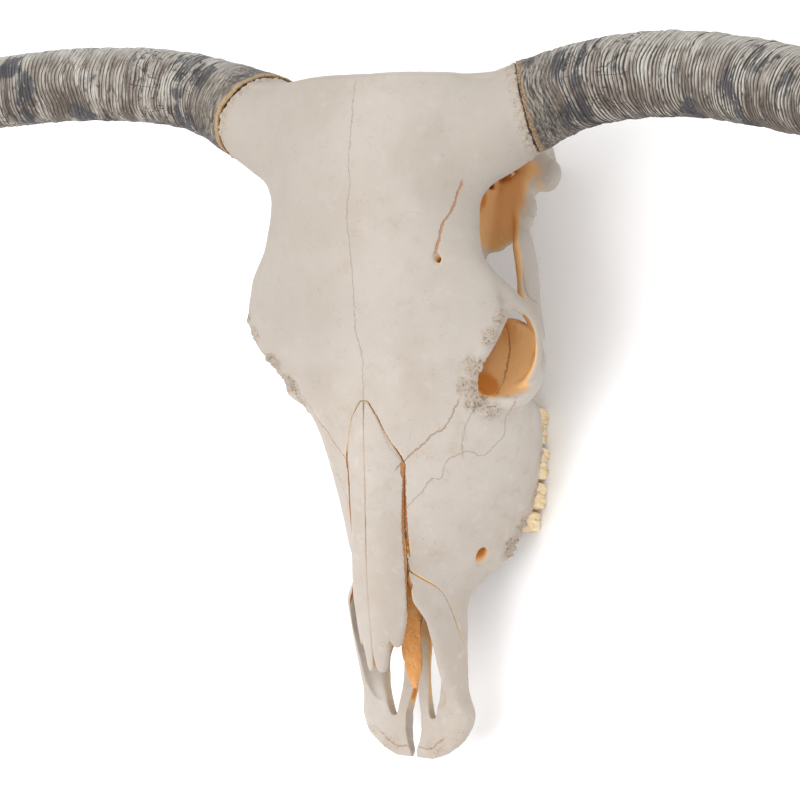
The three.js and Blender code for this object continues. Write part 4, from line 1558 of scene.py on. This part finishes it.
@dataclass(frozen=True)
class HornSheath:
    """One horn sheath: ringed and flaked outside, hollow at the base, plain at the tip."""

    name: str
    line: tuple[tuple[float, float, float, float], ...]
    edge: Edge
    mirror: bool
    seed: int
    # Points round a ring, space between rings, and how many rings spread back to the ragged edge.
    around: int = 176
    pitch: float = 0.7
    lip_rings: int = 14
    tip_round: float = 4.0
    # Space between growth rings and between years, and how many ledges the flakes stand on.
    ring_gap: float = 3.2
    year_gap: float = 23.0
    ledges: float = 3.2

    def beside(self, points: Array) -> Array:
        """Return 1 on the bone next to the sheath's edge and 0 away from it.

        Args:
            points: places on the bone.

        Returns:
            A value for each.
        """
        own = points * [-1 if self.mirror else 1, 1, 1]
        near = 1 - smoothstep(45, 60, np.linalg.norm(own - self.edge.at, axis=1))
        return 0.55 * near * smoothstep(-12, -3, self.edge.past(own))

    def _turn(self) -> Array:
        """Return the angles round the horn."""
        return np.linspace(0, 2 * math.pi, self.around, endpoint=False)

    def _spine(self) -> tuple[Array, Array]:
        """Sample the horn's line evenly.

        Returns:
            Rows of centre and radius, and how far along each lies.
        """
        rows = smooth_path(np.array(self.line), 60)
        run = np.concatenate([[0], np.cumsum(np.linalg.norm(np.diff(rows[:, :3], axis=0), axis=1))])
        at = np.arange(0, run[-1], self.pitch)
        return np.stack([np.interp(at, run, rows[:, i]) for i in range(4)], axis=1), at

    @staticmethod
    def _frames(centres: Array) -> tuple[Array, Array]:
        """Find two directions square to the horn at each centre.

        Args:
            centres: places along the horn.

        Returns:
            The direction across and the one upwards.
        """
        along = np.gradient(centres, axis=0)
        along /= np.linalg.norm(along, axis=1, keepdims=True)
        across = np.cross([0, 0, 1], along)
        across /= np.linalg.norm(across, axis=1, keepdims=True)
        return across, np.cross(along, across)

    def _relief(self, lay: Array) -> tuple[Array, Array, Array]:
        """Shape the growth rings, flakes and cracks.

        Args:
            lay: distance along the horn and the two offsets from its middle, by ring and angle.

        Returns:
            Heights in millimetres, how clean the horn is (0 dark and dirty to 1 pale), and the count of rings
            up to each point.
        """
        shape = lay.shape[:2]
        flat = lay.reshape(-1, 3)
        s = lay[:, :, 0]
        seed = self.seed
        warp = Noise(seed).layered(flat / [40, 30, 30], 1.0, 2).reshape(shape)
        drift = Noise(seed + 5).layered(flat / [9, 26, 26], 1.0, 3).reshape(shape)
        plates = Noise(seed + 17).layered(flat / [10, 22, 22], 1.0, 3).reshape(shape)
        rift = Noise(seed + 23).layered(flat / [5.5, 34, 34], 1.0, 3).reshape(shape)
        count = (s + 4 * warp) / self.ring_gap + 0.25 * drift
        coarse = self._saw(count)
        year = self._saw((s + 8 * warp) / self.year_gap + 0.25 * drift)
        terrace = plates * self.ledges
        terrace = (np.floor(terrace) + smoothstep(0.82, 1.0, terrace - np.floor(terrace))) / self.ledges
        crack = np.clip(1 - np.abs(rift) / 0.11, 0, 1)
        young = 1 - smoothstep(330, 500, s)
        patchy = np.clip(0.7 + 1.2 * drift, 0.1, 1.7)
        height = 0.55 * patchy * coarse + 0.7 * year + 0.45 * terrace - 0.8 * crack
        clean = 0.55 + 0.35 * year + 0.6 * drift + 0.4 * terrace - 0.8 * crack
        return height * (0.12 + 0.88 * young), np.clip(clean, 0, 1), count

    @staticmethod
    def _saw(phase: Array) -> Array:
        """Return a slow rise and quick fall, from -0.5 to 0.5, once for each whole number."""
        part = phase - np.floor(phase)
        return np.where(part < 0.8, part / 0.8, (1 - part) / 0.2) - 0.5

    def _surface(self) -> tuple[Array, Array]:
        """Lay out the outer skin.

        Returns:
            Points by ring and angle, and for each where it lies on the horn, how clean it is and its ring.
        """
        spine, s = self._spine()
        turn = self._turn()
        across, lift = self._frames(spine[:, :3])
        radius = spine[:, 3]
        spread = (s[:, None], radius[:, None] * np.cos(turn), radius[:, None] * np.sin(turn))
        lay = np.stack(np.broadcast_arrays(*spread), axis=2)
        height, clean, count = self._relief(lay)
        round_off = np.sqrt(np.clip((s[-1] - s) / self.tip_round, 0.0, 1.0))[:, None]
        slender = np.minimum(radius[:, None] / 16, 1)
        reach = (radius[:, None] + height * slender) * np.maximum(round_off, 0.02)
        cosine, sine = np.cos(turn)[None, :, None], np.sin(turn)[None, :, None]
        rings = spine[:, None, :3] + reach[:, :, None] * (cosine * across[:, None] + sine * lift[:, None])
        return rings, np.concatenate([lay, clean[:, :, None], count[:, :, None]], axis=2)

    def build(self, finish: Material) -> None:
        """Make the sheath with its open base.

        Args:
            finish: the material.
        """
        rings, facts = self._surface()
        turn = self._turn()
        circle = np.stack([3.4 * np.cos(turn), 3.4 * np.sin(turn), 0 * turn], axis=1)
        ragged = 0.5 + 0.8 * Noise(self.seed + 31).layered(circle, 1.0, 3)
        past = self.edge.past(rings) - GAP
        first = np.array([np.argmax(past[:, k] > max(ragged[k], 0.1)) for k in range(self.around)])
        start = int(first.max())
        outer, marks = rings[start:].copy(), facts[start:].copy()
        # The first rings spread back to the ragged edge that the sheath has round the bone.
        for k in range(self.around):
            pick = np.linspace(first[k], start + self.lip_rings, self.lip_rings + 1)
            low = np.floor(pick).astype(int)
            part = (pick - low)[:, None]
            outer[:self.lip_rings + 1, k] = rings[low, k] * (1 - part) + rings[low + 1, k] * part
            marks[:self.lip_rings + 1, k] = facts[low, k] * (1 - part) + facts[low + 1, k] * part
        fade = 1 - smoothstep(0, 60, np.arange(len(marks)) * self.pitch)
        marks[:, :, 0] -= marks[0, :, 0][None] * fade[:, None]
        inner, inner_marks = self._socket(outer[0], marks[0])
        self._close(np.concatenate([inner, outer]), np.concatenate([inner_marks, marks]), finish)

    def _socket(self, rim: Array, marks: Array) -> tuple[Array, Array]:
        """Lay out the hollow base, from its floor out to the rim.

        Args:
            rim: the outer skin's first ring.
            marks: the facts of that ring.

        Returns:
            The rings and their facts.
        """
        path = smooth_path(np.array([[*k.at, *k.r] for k in Cranium().core]), 24)
        across, lift = self._frames(path[:, :3])
        turn = self._turn()[:, None]
        keep = np.where(self.edge.past(path[:, :3]) > 14.0)[0][::4]
        rings = []
        for i in keep:
            outward = np.cos(turn) * across[i] + np.sin(turn) * lift[i]
            rings.append(path[i, :3] + (path[i, 3] + 0.9) * outward)
        rings.append(rings[-1] + self.edge.normal() * 2.0)
        inner = np.array(rings[::-1])
        thin = rim * 0.94 + rim.mean(axis=0) * 0.06
        lip = [inner[-1] * (1 - share) + thin * share for share in (0.3, 0.65, 1.0)]
        lip.append(rim * 0.975 + rim.mean(axis=0) * 0.025 - self.edge.normal() * 0.4)
        made = np.concatenate([inner, np.array(lip)])
        spread = np.tile(marks, (len(made), 1, 1))
        spread[:, :, 0] = -np.linspace(14, 0.3, len(made))[:, None]
        return made, spread

    def _close(self, rows: Array, marks: Array, finish: Material) -> None:
        """Join the rings into one closed skin and build it.

        Args:
            rows: all rings of points.
            marks: their facts.
            finish: the material.
        """
        count, around = rows.shape[:2]
        index = np.arange(count * around).reshape(count, around)
        follow = np.roll(index, -1, axis=1)
        quads = np.stack([index[:-1], follow[:-1], follow[1:], index[1:]], axis=2).reshape(-1, 4)
        points = np.vstack([rows.reshape(-1, 3), rows[0].mean(axis=0), rows[-1].mean(axis=0)])
        low, high = len(points) - 2, len(points) - 1
        caps = []
        for k in range(0, around, 2):
            after = (k + 2) % around
            caps.append([low, index[0, after], index[0, k + 1], index[0, k]])
            caps.append([high, index[-1, k], index[-1, k + 1], index[-1, after]])
        faces = np.vstack([quads, np.array(caps)])
        told = np.vstack([marks.reshape(-1, 5), [marks[0, 0]], [marks[-1, 0]]])
        skin = Skin(points, faces)
        if signed_volume(skin) < 0:
            skin = Skin(points, faces[:, ::-1])
        if self.mirror:
            skin = mirrored_skin(skin)
        facts = {"lay": told[:, :3], "relief": told[:, [3, 4, 4]]}
        piece = Piece(f"horn_sheath_{self.name}", skin, Slot.HORN, (f"horn_{self.name}",), facts)
        piece.build(finish)


def signed_volume(skin: Skin) -> float:
    """Return the volume inside a skin, negative if its faces point in."""
    a, b, c, d = (skin.points[skin.faces[:, i]] for i in range(4))
    return float((np.cross(a, b) * c).sum() + (np.cross(a, c) * d).sum()) / 6


# ---------- shading
Value = Union["Wire", float, int]
Colour = tuple[float, float, float, float]
Paint = Union["Wire", Colour, Point]
Coat = tuple["Wire", float, Paint]


def srgb(red: int, green: int, blue: int) -> Colour:
    """Return a colour seen on a screen as the linear colour that a shader takes."""
    parts = [c / 255 for c in (red, green, blue)]
    return (*(p / 12.92 if p <= 0.04045 else ((p + 0.055) / 1.055) ** 2.4 for p in parts), 1.0)


@dataclass(frozen=True)
class Wire:
    """One value in a material, which can be used in a sum."""

    graph: "Graph"
    socket: Optional[bpy.types.NodeSocket]

    def _math(self, operation: str, *values: Value) -> "Wire":
        """Add a Math node and return its result."""
        return self.graph.add("ShaderNodeMath", {"operation": operation}, dict(enumerate(values)))

    def __add__(self, other: Value) -> "Wire":
        """Add."""
        return self._math("ADD", self, other)

    __radd__ = __add__

    def __sub__(self, other: Value) -> "Wire":
        """Take away."""
        return self._math("SUBTRACT", self, other)

    def __rsub__(self, other: Value) -> "Wire":
        """Take this from a number."""
        return self._math("SUBTRACT", other, self)

    def __mul__(self, other: Value) -> "Wire":
        """Multiply."""
        return self._math("MULTIPLY", self, other)

    __rmul__ = __mul__

    def __abs__(self) -> "Wire":
        """Drop the sign."""
        return self._math("ABSOLUTE", self)

    def top(self, other: Value) -> "Wire":
        """Take the greater."""
        return self._math("MAXIMUM", self, other)

    def part(self) -> "Wire":
        """Drop the whole number and keep what is left over."""
        return self._math("FRACT", self)

    def ramp(self, low: float, high: float) -> "Wire":
        """Rise smoothly from 0 at low to 1 at high, or fall where low is the greater."""
        sockets = {0: self, 1: low, 2: high, 3: 0.0, 4: 1.0}
        return self.graph.add("ShaderNodeMapRange", {"interpolation_type": "SMOOTHSTEP"}, sockets)


class Graph:
    """The nodes of one material."""

    def __init__(self, name: str) -> None:
        """Start a material with nothing but its output."""
        self.material = bpy.data.materials.new(name)
        self.material.use_nodes = True
        self.tree = self.material.node_tree
        self.tree.nodes.clear()

    def add(self, kind: str, settings: Optional[dict] = None, sockets: Optional[dict] = None,
            result: Union[int, str] = 0) -> Wire:
        """Add one node.

        Args:
            kind: the node's type.
            settings: its properties.
            sockets: what its inputs hold, by number or name.
            result: which output to return.

        Returns:
            The output.
        """
        node = self.tree.nodes.new(kind)
        for name, value in (settings or {}).items():
            setattr(node, name, value)
        for name, value in (sockets or {}).items():
            if isinstance(value, Wire):
                self.tree.links.new(value.socket, node.inputs[name])
            else:
                node.inputs[name].default_value = value
        return Wire(self, node.outputs[result] if node.outputs else None)

    def mix(self, factor: Value, a: Paint, b: Paint) -> Wire:
        """Mix two colours."""
        settings = {"data_type": "RGBA", "blend_type": "MIX", "clamp_factor": True}
        return self.add("ShaderNodeMix", settings, {0: factor, 6: a, 7: b}, 2)

    def coats(self, ground: Paint, *coats: Coat) -> Paint:
        """Lay colours over a ground, one after the other.

        Args:
            ground: the first colour.
            coats: for each colour over it, where it lies from 0 to 1, how strong it is there, and the colour.

        Returns:
            The colour in the end.
        """
        for mask, strength, colour in coats:
            ground = self.mix(mask if strength == 1.0 else mask * strength, ground, colour)
        return ground

    def vector(self, operation: str, a: Paint, b: Paint) -> Wire:
        """Work out a vector from two."""
        return self.add("ShaderNodeVectorMath", {"operation": operation}, {0: a, 1: b})

    def split(self, source: Wire) -> tuple[Wire, Wire, Wire]:
        """Return a vector's three parts."""
        node = self.add("ShaderNodeSeparateXYZ", None, {0: source}).socket.node
        return tuple(Wire(self, socket) for socket in node.outputs)

    def fact(self, name: str) -> Wire:
        """Read what the mesh says of each point."""
        return self.add("ShaderNodeAttribute", {"attribute_name": name}, None, "Vector")

    def place(self) -> Wire:
        """Return the place on the object, in millimetres."""
        spot = self.add("ShaderNodeTexCoord", None, None, "Object")
        return self.vector("MULTIPLY", spot, (1000.0, 1000.0, 1000.0))

    def noise(self, at: Wire, size: float, detail: float = 3.0, rough: float = 0.55) -> Wire:
        """Return noise from 0 to 1 whose features are about size across."""
        sockets = {"Vector": at, "Scale": 1 / size, "Detail": detail, "Roughness": rough}
        return self.add("ShaderNodeTexNoise", None, sockets, "Fac")

    def cells(self, at: Wire, size: float) -> Wire:
        """Return the distance to the nearest of many scattered points, 0 on one."""
        return self.add("ShaderNodeTexVoronoi", None, {"Vector": at, "Scale": 1 / size}, "Distance")

    def finish(self, colour: Paint, rough: Value, height: Wire, gloss: float) -> Material:
        """Close the material.

        Args:
            colour: base colour.
            rough: roughness.
            height: surface height in millimetres.
            gloss: specular level.

        Returns:
            The material.
        """
        relief = {"Strength": 1.0, "Distance": MILLIMETRE, "Height": height}
        bump = self.add("ShaderNodeBump", None, relief, "Normal")
        sockets = {"Base Color": colour, "Roughness": rough, "Normal": bump, "Specular IOR Level": gloss}
        shader = self.add("ShaderNodeBsdfPrincipled", None, sockets)
        self.add("ShaderNodeOutputMaterial", None, {"Surface": shader})
        return self.material


@dataclass(frozen=True)
class BoneFinish:
    """Dry, sun-bleached bone: ivory, tan where it is walled in, brown in the seams."""

    ivory: Colour = srgb(208, 199, 190)
    drab: Colour = srgb(199, 187, 176)
    tan: Colour = srgb(190, 172, 152)
    chalk: Colour = srgb(216, 209, 201)
    dimming: Point = (0.67, 0.665, 0.655)
    # Grey laid as painted shade over the brow and poll.
    painted_brow_shade: Colour = srgb(148, 140, 131)
    # Painted bounce light for half-hidden places, lighter than the bone in the open.
    cream: Colour = srgb(196, 176, 150)
    honey: Colour = srgb(214, 166, 106)
    amber: Colour = srgb(196, 128, 56)
    pit: Colour = srgb(140, 116, 90)
    spongy: Colour = srgb(178, 154, 124)
    pore: Colour = srgb(112, 76, 46)
    seam: Colour = srgb(138, 100, 66)
    crack: Colour = srgb(176, 108, 38)
    dust: Colour = srgb(150, 130, 110)
    gloss: float = 0.32

    def build(self) -> Material:
        """Make the material.

        Returns:
            The material.
        """
        g = Graph("bleached_bone")
        mm = g.place()
        walled, rough, stain = g.split(g.fact("wear"))
        line, crack = self._seam_lines(g, mm)
        broad, mottle, grain = g.noise(mm, 70, 2), g.noise(mm, 11, 4, 0.6), g.noise(mm, 1.6, 3)
        pit = g.cells(mm, 2.3).ramp(0.30, 0.12) * g.noise(mm, 16, 2).ramp(0.52, 0.68)
        pores = g.cells(mm, 2.0).ramp(0.46, 0.18) * rough * g.noise(mm, 4, 3).ramp(0.38, 0.56)
        tone = self._sheltered(g, self._bleached(g, mm, broad, mottle), walled, stain, mottle)
        tone = g.coats(tone, (pit, 0.35, self.pit), (rough, 0.22, self.spongy), (pores, 0.75, self.pore),
                       (line, 0.8, self.seam), (crack, 0.9, self.crack),
                       ((grain - 0.5).ramp(0.0, 0.3), 0.12, self.dust))
        height = 0.26 * mottle + 0.10 * grain + 2.4 * rough * g.noise(mm, 2.4, 3, 0.6)
        height = height - 0.16 * pit - 0.5 * pores - 0.4 * line - 0.5 * crack
        return g.finish(tone, 0.60 + 0.12 * mottle, height, self.gloss)

    def _bleached(self, g: Graph, mm: Wire, broad: Wire, mottle: Wire) -> Paint:
        """Colour the bone in the open, greyed toward the poll by painted shade and less so along the middle,
        which leaves a painted highlight there.

        Args:
            g: the material's nodes.
            mm: the place on the skull.
            broad: noise as wide as a hand.
            mottle: noise as wide as a finger.

        Returns:
            The colour.
        """
        tone = g.coats(self.ivory, (broad.ramp(0.35, 0.68), 1.0, self.drab),
                       (mottle.ramp(0.52, 0.74), 0.4, self.tan), (mottle.ramp(0.46, 0.26), 0.5, self.chalk))
        tone = g.vector("MULTIPLY", tone, self.dimming)
        across, behind, _ = g.split(mm)
        # Painted shade greys the brow and poll; halving it along the middle leaves a painted highlight there.
        middle = 1.0 - 0.5 * abs(across - 20.0 + 30.0 * (mottle - 0.5)).ramp(90, 0)
        mask = (behind + 60.0 * (broad - 0.5)).ramp(-30, 50) * middle
        return g.coats(tone, (mask, 0.6, self.painted_brow_shade))

    def _sheltered(self, g: Graph, tone: Paint, walled: Wire, stain: Wire, mottle: Wire) -> Paint:
        """Warm the bone where it is walled in, and lighten the half-hidden places with cream as painted bounce
        light.

        Args:
            g: the material's nodes.
            tone: the colour in the open.
            walled: how far the place is walled in.
            stain: how far it has kept its brown.
            mottle: noise as wide as a finger.

        Returns:
            The colour.
        """
        uneven = 0.35 * (mottle - 0.5)
        # Cream over the half-hidden places is painted bounce light; honey and amber are the bone's own stain
        # in its hollows.
        return g.coats(tone, ((walled + 0.4 * uneven).ramp(0.05, 0.34), 0.8, self.cream),
                       ((walled + 0.26 * stain + uneven).ramp(0.34, 0.56), 0.85, self.honey),
                       ((walled + uneven).ramp(0.66, 1.0), 1.0, self.amber))

    @staticmethod
    def _seam_lines(g: Graph, mm: Wire) -> tuple[Wire, Wire]:
        """Draw the wandering lines where bones meet.

        Args:
            g: the material's nodes.
            mm: the place on the skull.

        Returns:
            1 in a line and 0 away from it, and the same for wide cracks alone.
        """
        sides, near, width = g.split(g.fact("side")), g.split(g.fact("near")), g.split(g.fact("width"))
        sway = 4.6 * (g.noise(mm, 5.5, 4, 0.7) - 0.5) + 1.8 * (g.noise(mm, 1.6, 2) - 0.5)
        broken = g.noise(mm, 4.0, 3)
        lines = [abs(side + sway).ramp(wide, 0.3 * wide) * close * (broken + 0.12 * wide).ramp(0.30, 0.52)
                 for side, close, wide in zip(sides, near, width)]
        cracks = [line * wide.ramp(0.7, 1.2) for line, wide in zip(lines, width)]
        return lines[0].top(lines[1]).top(lines[2]), cracks[0].top(cracks[1]).top(cracks[2])


@dataclass(frozen=True)
class ToothFinish:
    """Old enamel: cream, streaked with brown toward the gum and in the cups."""

    cream: Colour = srgb(222, 204, 168)
    streaked: Colour = srgb(196, 166, 118)
    gum: Colour = srgb(186, 154, 112)
    tartar: Colour = srgb(128, 92, 56)
    gloss: float = 0.5

    def build(self) -> Material:
        """Make the material.

        Returns:
            The material.
        """
        g = Graph("tooth_enamel")
        mm = g.place()
        _, _, height = g.split(mm)
        streak = g.noise(g.vector("MULTIPLY", mm, (1.0, 1.0, 0.22)), 3.0, 4, 0.6)
        tartar = g.noise(mm, 5, 3).ramp(0.6, 0.75)
        tone = g.coats(self.cream, (streak.ramp(0.4, 0.7), 1.0, self.streaked),
                       (height.ramp(12, 24), 0.6, self.gum), (tartar, 0.7, self.tartar))
        return g.finish(tone, 0.38 + 0.2 * streak, 0.25 * streak, self.gloss)


@dataclass(frozen=True)
class HornGrain:
    """What is read once of a sheath's surface and used all over its finish."""

    lay: Wire
    along: Wire
    upper: Wire
    clean: Wire
    count: Wire
    patch: Wire
    broken: Wire
    bands: Wire
    fleck: Wire

    @classmethod
    def read(cls, g: Graph) -> "HornGrain":
        """Read what the mesh says, and stretch noises round the horn.

        Args:
            g: the material's nodes.

        Returns:
            The grain.
        """
        lay = g.fact("lay")
        along, upper, _ = g.split(lay)
        clean, count, _ = g.split(g.fact("relief"))
        lengthwise = g.vector("MULTIPLY", lay, (1.0, 0.3, 0.3))
        patch = g.noise(g.vector("MULTIPLY", lay, (0.9, 0.7, 0.7)), 26, 4, 0.62)
        fleck = g.noise(g.vector("MULTIPLY", lay, (1.0, 0.4, 0.4)), 2.6, 4, 0.7)
        broken, bands = g.noise(lengthwise, 6.0, 4, 0.65), g.noise(lengthwise, 10.0, 3, 0.6)
        return cls(lay, along, upper, clean, count, patch, broken, bands, fleck)


@dataclass(frozen=True)
class SheathFinish:
    """Weathered horn: grey rings, blue-black patches, brown cracks and an ochre rim."""

    name: str
    rim: Colour
    root: Colour
    shadow: Colour = srgb(92, 82, 73)
    grey: Colour = srgb(138, 130, 121)
    pale: Colour = srgb(176, 172, 163)
    # Paler top of the horn: worn smooth, and partly a painted highlight.
    rubbed_and_highlight: Colour = srgb(172, 169, 162)
    slate: Colour = srgb(50, 55, 64)
    flake: Colour = srgb(196, 190, 179)
    brown: Colour = srgb(112, 84, 60)
    hairline: Colour = srgb(84, 74, 64)
    groove: Colour = srgb(40, 33, 28)
    step: Colour = srgb(52, 36, 25)
    crack: Colour = srgb(58, 42, 30)
    root_fleck: Colour = srgb(134, 126, 116)
    rim_grit: Colour = srgb(178, 156, 126)
    inside: Colour = srgb(196, 134, 62)
    tip: Colour = srgb(44, 39, 35)
    gloss: float = 0.4

    def build(self) -> Material:
        """Make the material.

        Returns:
            The material.
        """
        g = Graph(self.name)
        on = HornGrain.read(g)
        # The upper side is worn smooth with fewer grooves, and it is also lighter as a painted highlight.
        worn = on.upper.ramp(8, 25)
        groove, hair, step, crack = self._lines(g, on, worn)
        tone = self._keratin(g, on, worn)
        tone = g.coats(tone, (hair, 0.45, self.hairline), (groove, 0.9, self.groove), (step, 0.85, self.step),
                       (crack, 0.8, self.crack))
        height = 0.5 * on.broken + 0.5 * on.fleck - 0.5 * groove - 0.5 * step - 0.2 * hair - 0.8 * crack
        smooth_tip = on.along.ramp(540, 430)
        return g.finish(self._ends(g, on, tone), 0.58 + 0.2 * on.broken, height * smooth_tip, self.gloss)

    @staticmethod
    def _lines(g: Graph, on: HornGrain, worn: Wire) -> tuple[Wire, Wire, Wire, Wire]:
        """Draw the lines round and along the horn.

        Args:
            g: the material's nodes.
            on: the grain.
            worn: how far the upper side is worn smooth, which also marks its painted highlight.

        Returns:
            1 in a line and 0 away from it: ring grooves, hairlines between them, steps and long cracks.
        """
        ring = on.count.part() + 0.3 * (on.fleck - 0.5)
        unbroken = (on.bands + 0.12 * on.upper.ramp(4, -24)).ramp(0.32, 0.50)
        groove = ring.ramp(0.56, 0.86) * unbroken * (1.0 - 0.65 * worn)
        hair = (2.0 * on.count + 0.9 * (on.fleck - 0.5)).part().ramp(0.55, 0.95) * on.bands.ramp(0.60, 0.42)
        step = (0.41 * on.count + 0.25 * (on.broken - 0.5)).part().ramp(0.84, 0.94) * on.patch.ramp(0.40, 0.50)
        split = g.noise(g.vector("MULTIPLY", on.lay, (0.35, 1.0, 1.0)), 15, 3, 0.6)
        crack = abs(split - 0.5).ramp(0.010, 0.003) * g.noise(on.lay, 40, 2).ramp(0.50, 0.6)
        return groove, hair, step, crack

    def _keratin(self, g: Graph, on: HornGrain, worn: Wire) -> Paint:
        """Colour the rings, patches and flecks, with painted shade darkening the lower side.

        Args:
            g: the material's nodes.
            on: the grain.
            worn: how far the upper side is worn smooth, which also marks its painted highlight.

        Returns:
            The colour.
        """
        # The term on upper darkens the horn's lower side as painted shade.
        shade = 0.22 + 0.5 * on.clean - 0.20 * on.upper.ramp(4, -24)
        shade = shade + 0.45 * (on.broken - 0.5) + 0.35 * (on.fleck - 0.5)
        slate = on.patch.ramp(0.53, 0.58) * shade.ramp(0.8, 0.4)
        brown = on.fleck.ramp(0.42, 0.32) * on.patch.ramp(0.55, 0.40)
        return g.coats(self.shadow, (shade.ramp(0.05, 0.42), 1.0, self.grey),
                       (shade.ramp(0.28, 0.74), 1.0, self.pale), (worn, 0.65, self.rubbed_and_highlight),
                       (slate, 0.85, self.slate), (on.fleck.ramp(0.60, 0.68), 0.55, self.flake),
                       (brown, 0.6, self.brown))

    def _ends(self, g: Graph, on: HornGrain, tone: Paint) -> Paint:
        """Colour the root, the rim, the hollow inside it and the tip.

        Args:
            g: the material's nodes.
            on: the grain.
            tone: the colour between them.

        Returns:
            The colour.
        """
        root = g.mix(on.fleck.ramp(0.4, 0.62), self.root, self.root_fleck)
        rim = g.mix(g.noise(on.lay, 1.3, 2).ramp(0.35, 0.65) * 0.5, self.rim, self.rim_grit)
        return g.coats(tone, ((on.along + 60.0 * (on.patch - 0.5)).ramp(70, 20), 0.62, root),
                       ((on.along + 5.0 * (on.fleck - 0.5)).ramp(4.6, 1.6), 1.0, rim),
                       (on.along.ramp(-0.4, -2.6), 1.0, self.inside), (on.along.ramp(420, 560), 0.8, self.tip))


# ---------- studio
@dataclass(frozen=True)
class Studio:
    """Floor, light, world and camera."""

    half_floor: float = 8.0
    camera_at: Point = (1.11669, -0.17509, 1.75993)
    camera_right: Point = (0.83013037, 0.08682478, -0.55076767)
    camera_up: Point = (-0.0237046, 0.99240383, 0.12071756)
    camera_back: Point = (0.55706522, -0.08715558, 0.82588271)
    lens: float = 121.916
    sensor: float = 36.0
    farthest: float = 50.0
    key_from: Point = (-0.24, -0.20, 1.0)
    key_away: float = 2.6
    key_size: float = 2.0
    key_power: float = 33.0
    sky: float = 1.32

    def build(self) -> None:
        """Set the whole studio up."""
        self._camera()
        self._floor()
        self._light()

    def _camera(self) -> None:
        """Place the camera."""
        data = bpy.data.cameras.new("camera")
        data.lens, data.sensor_width, data.clip_end = self.lens, self.sensor, self.farthest
        camera = bpy.data.objects.new("camera", data)
        turn = Matrix((self.camera_right, self.camera_up, self.camera_back)).transposed()
        camera.matrix_world = Matrix.Translation(Vector(self.camera_at)) @ turn.to_4x4()
        bpy.context.scene.collection.objects.link(camera)
        bpy.context.scene.camera = camera

    def _floor(self) -> None:
        """Lay a plain pale floor under the skull."""
        mesh = bpy.data.meshes.new("floor")
        far = self.half_floor
        mesh.from_pydata([(-far, -far, 0), (far, -far, 0), (far, far, 0), (-far, far, 0)], [], [(0, 1, 2, 3)])
        g = Graph("pale_floor")
        paper = {"Base Color": srgb(249, 249, 250), "Roughness": 0.9, "Specular IOR Level": 0.1}
        shader = g.add("ShaderNodeBsdfPrincipled", None, paper)
        g.add("ShaderNodeOutputMaterial", None, {"Surface": shader})
        mesh.materials.append(g.material)
        floor = bpy.data.objects.new("floor", mesh)
        bpy.context.scene.collection.objects.link(floor)

    def _light(self) -> None:
        """Hang one large soft light, and fill from all round."""
        lamp = bpy.data.lights.new("key", "AREA")
        lamp.shape, lamp.size, lamp.energy = "DISK", self.key_size, self.key_power
        key = bpy.data.objects.new("key", lamp)
        toward = Vector(self.key_from).normalized()
        key.location = toward * self.key_away
        key.rotation_mode = "QUATERNION"
        key.rotation_quaternion = toward.to_track_quat("Z", "Y")
        bpy.context.scene.collection.objects.link(key)
        world = bpy.data.worlds.new("studio")
        world.use_nodes = True
        back = world.node_tree.nodes["Background"]
        back.inputs["Color"].default_value = (1.0, 1.0, 1.0, 1.0)
        back.inputs["Strength"].default_value = self.sky
        bpy.context.scene.world = world
        bpy.context.scene.view_settings.view_transform = "Standard"


# ---------- the whole
# The line through each horn, as x, y, z and radius, both as if on the left.
HORN_LEFT = ((84, -33, 152, 33.2), (100, -30, 152, 33.6), (118, -25, 152.2, 33.2), (136, -18.8, 152.8, 31.3),
             (160, -12, 154, 29.8), (200, -7.5, 158, 29.3), (250, -9.5, 166, 29), (300, -18.5, 178, 28.6),
             (345, -30.5, 193, 28), (388, -45, 213, 26.2), (428, -66, 240, 22.8), (462, -94, 271, 18.2),
             (486, -127, 303, 13), (500, -162, 331, 7.8), (507, -190, 350, 3.6), (509, -200, 356.5, 1.6))
HORN_RIGHT = ((84, -33, 152, 36), (100, -30.5, 152, 36.5), (118, -25, 152.2, 35.8), (136, -17.4, 152.8, 33.6),
              (160, -8.2, 154, 30.4), (200, 1, 158, 29), (250, 4, 166, 28.6), (300, 2, 178, 28.2),
              (345, -5, 193, 27.6), (388, -17, 213, 26), (428, -37, 240, 22.8), (462, -66, 271, 18.2),
              (486, -101, 303, 13), (500, -138, 331, 7.8), (507, -167, 350, 3.6), (509, -178, 356.5, 1.6))
EDGE_LEFT = Edge((116.5, -19, 152), (0.87, 0.31, -0.38))
EDGE_RIGHT = Edge((121, -22.8, 170.4), (0.82, 0.50, -0.28))


def main() -> None:
    """Build the skull, its finishes and the studio."""
    logging.basicConfig(level=logging.INFO, format="%(message)s")
    bone, enamel = BoneFinish().build(), ToothFinish().build()
    left = SheathFinish("horn_left_keratin", srgb(108, 84, 58), srgb(52, 43, 37)).build()
    right = SheathFinish("horn_right_keratin", srgb(148, 122, 86), srgb(66, 56, 48)).build()
    horns = (HornSheath("left", HORN_LEFT, EDGE_LEFT, False, 101),
             HornSheath("right", HORN_RIGHT, EDGE_RIGHT, True, 211))
    solid = Cranium().build(bone, horns)
    NasalBones().build(bone, solid)
    IncisiveBones().build(bone, solid)
    Teeth().build(enamel)
    Turbinate().build(bone)
    for horn, finish in zip(horns, (left, right)):
        horn.build(finish)
    Studio().build()


if __name__ == "__main__":
    main()
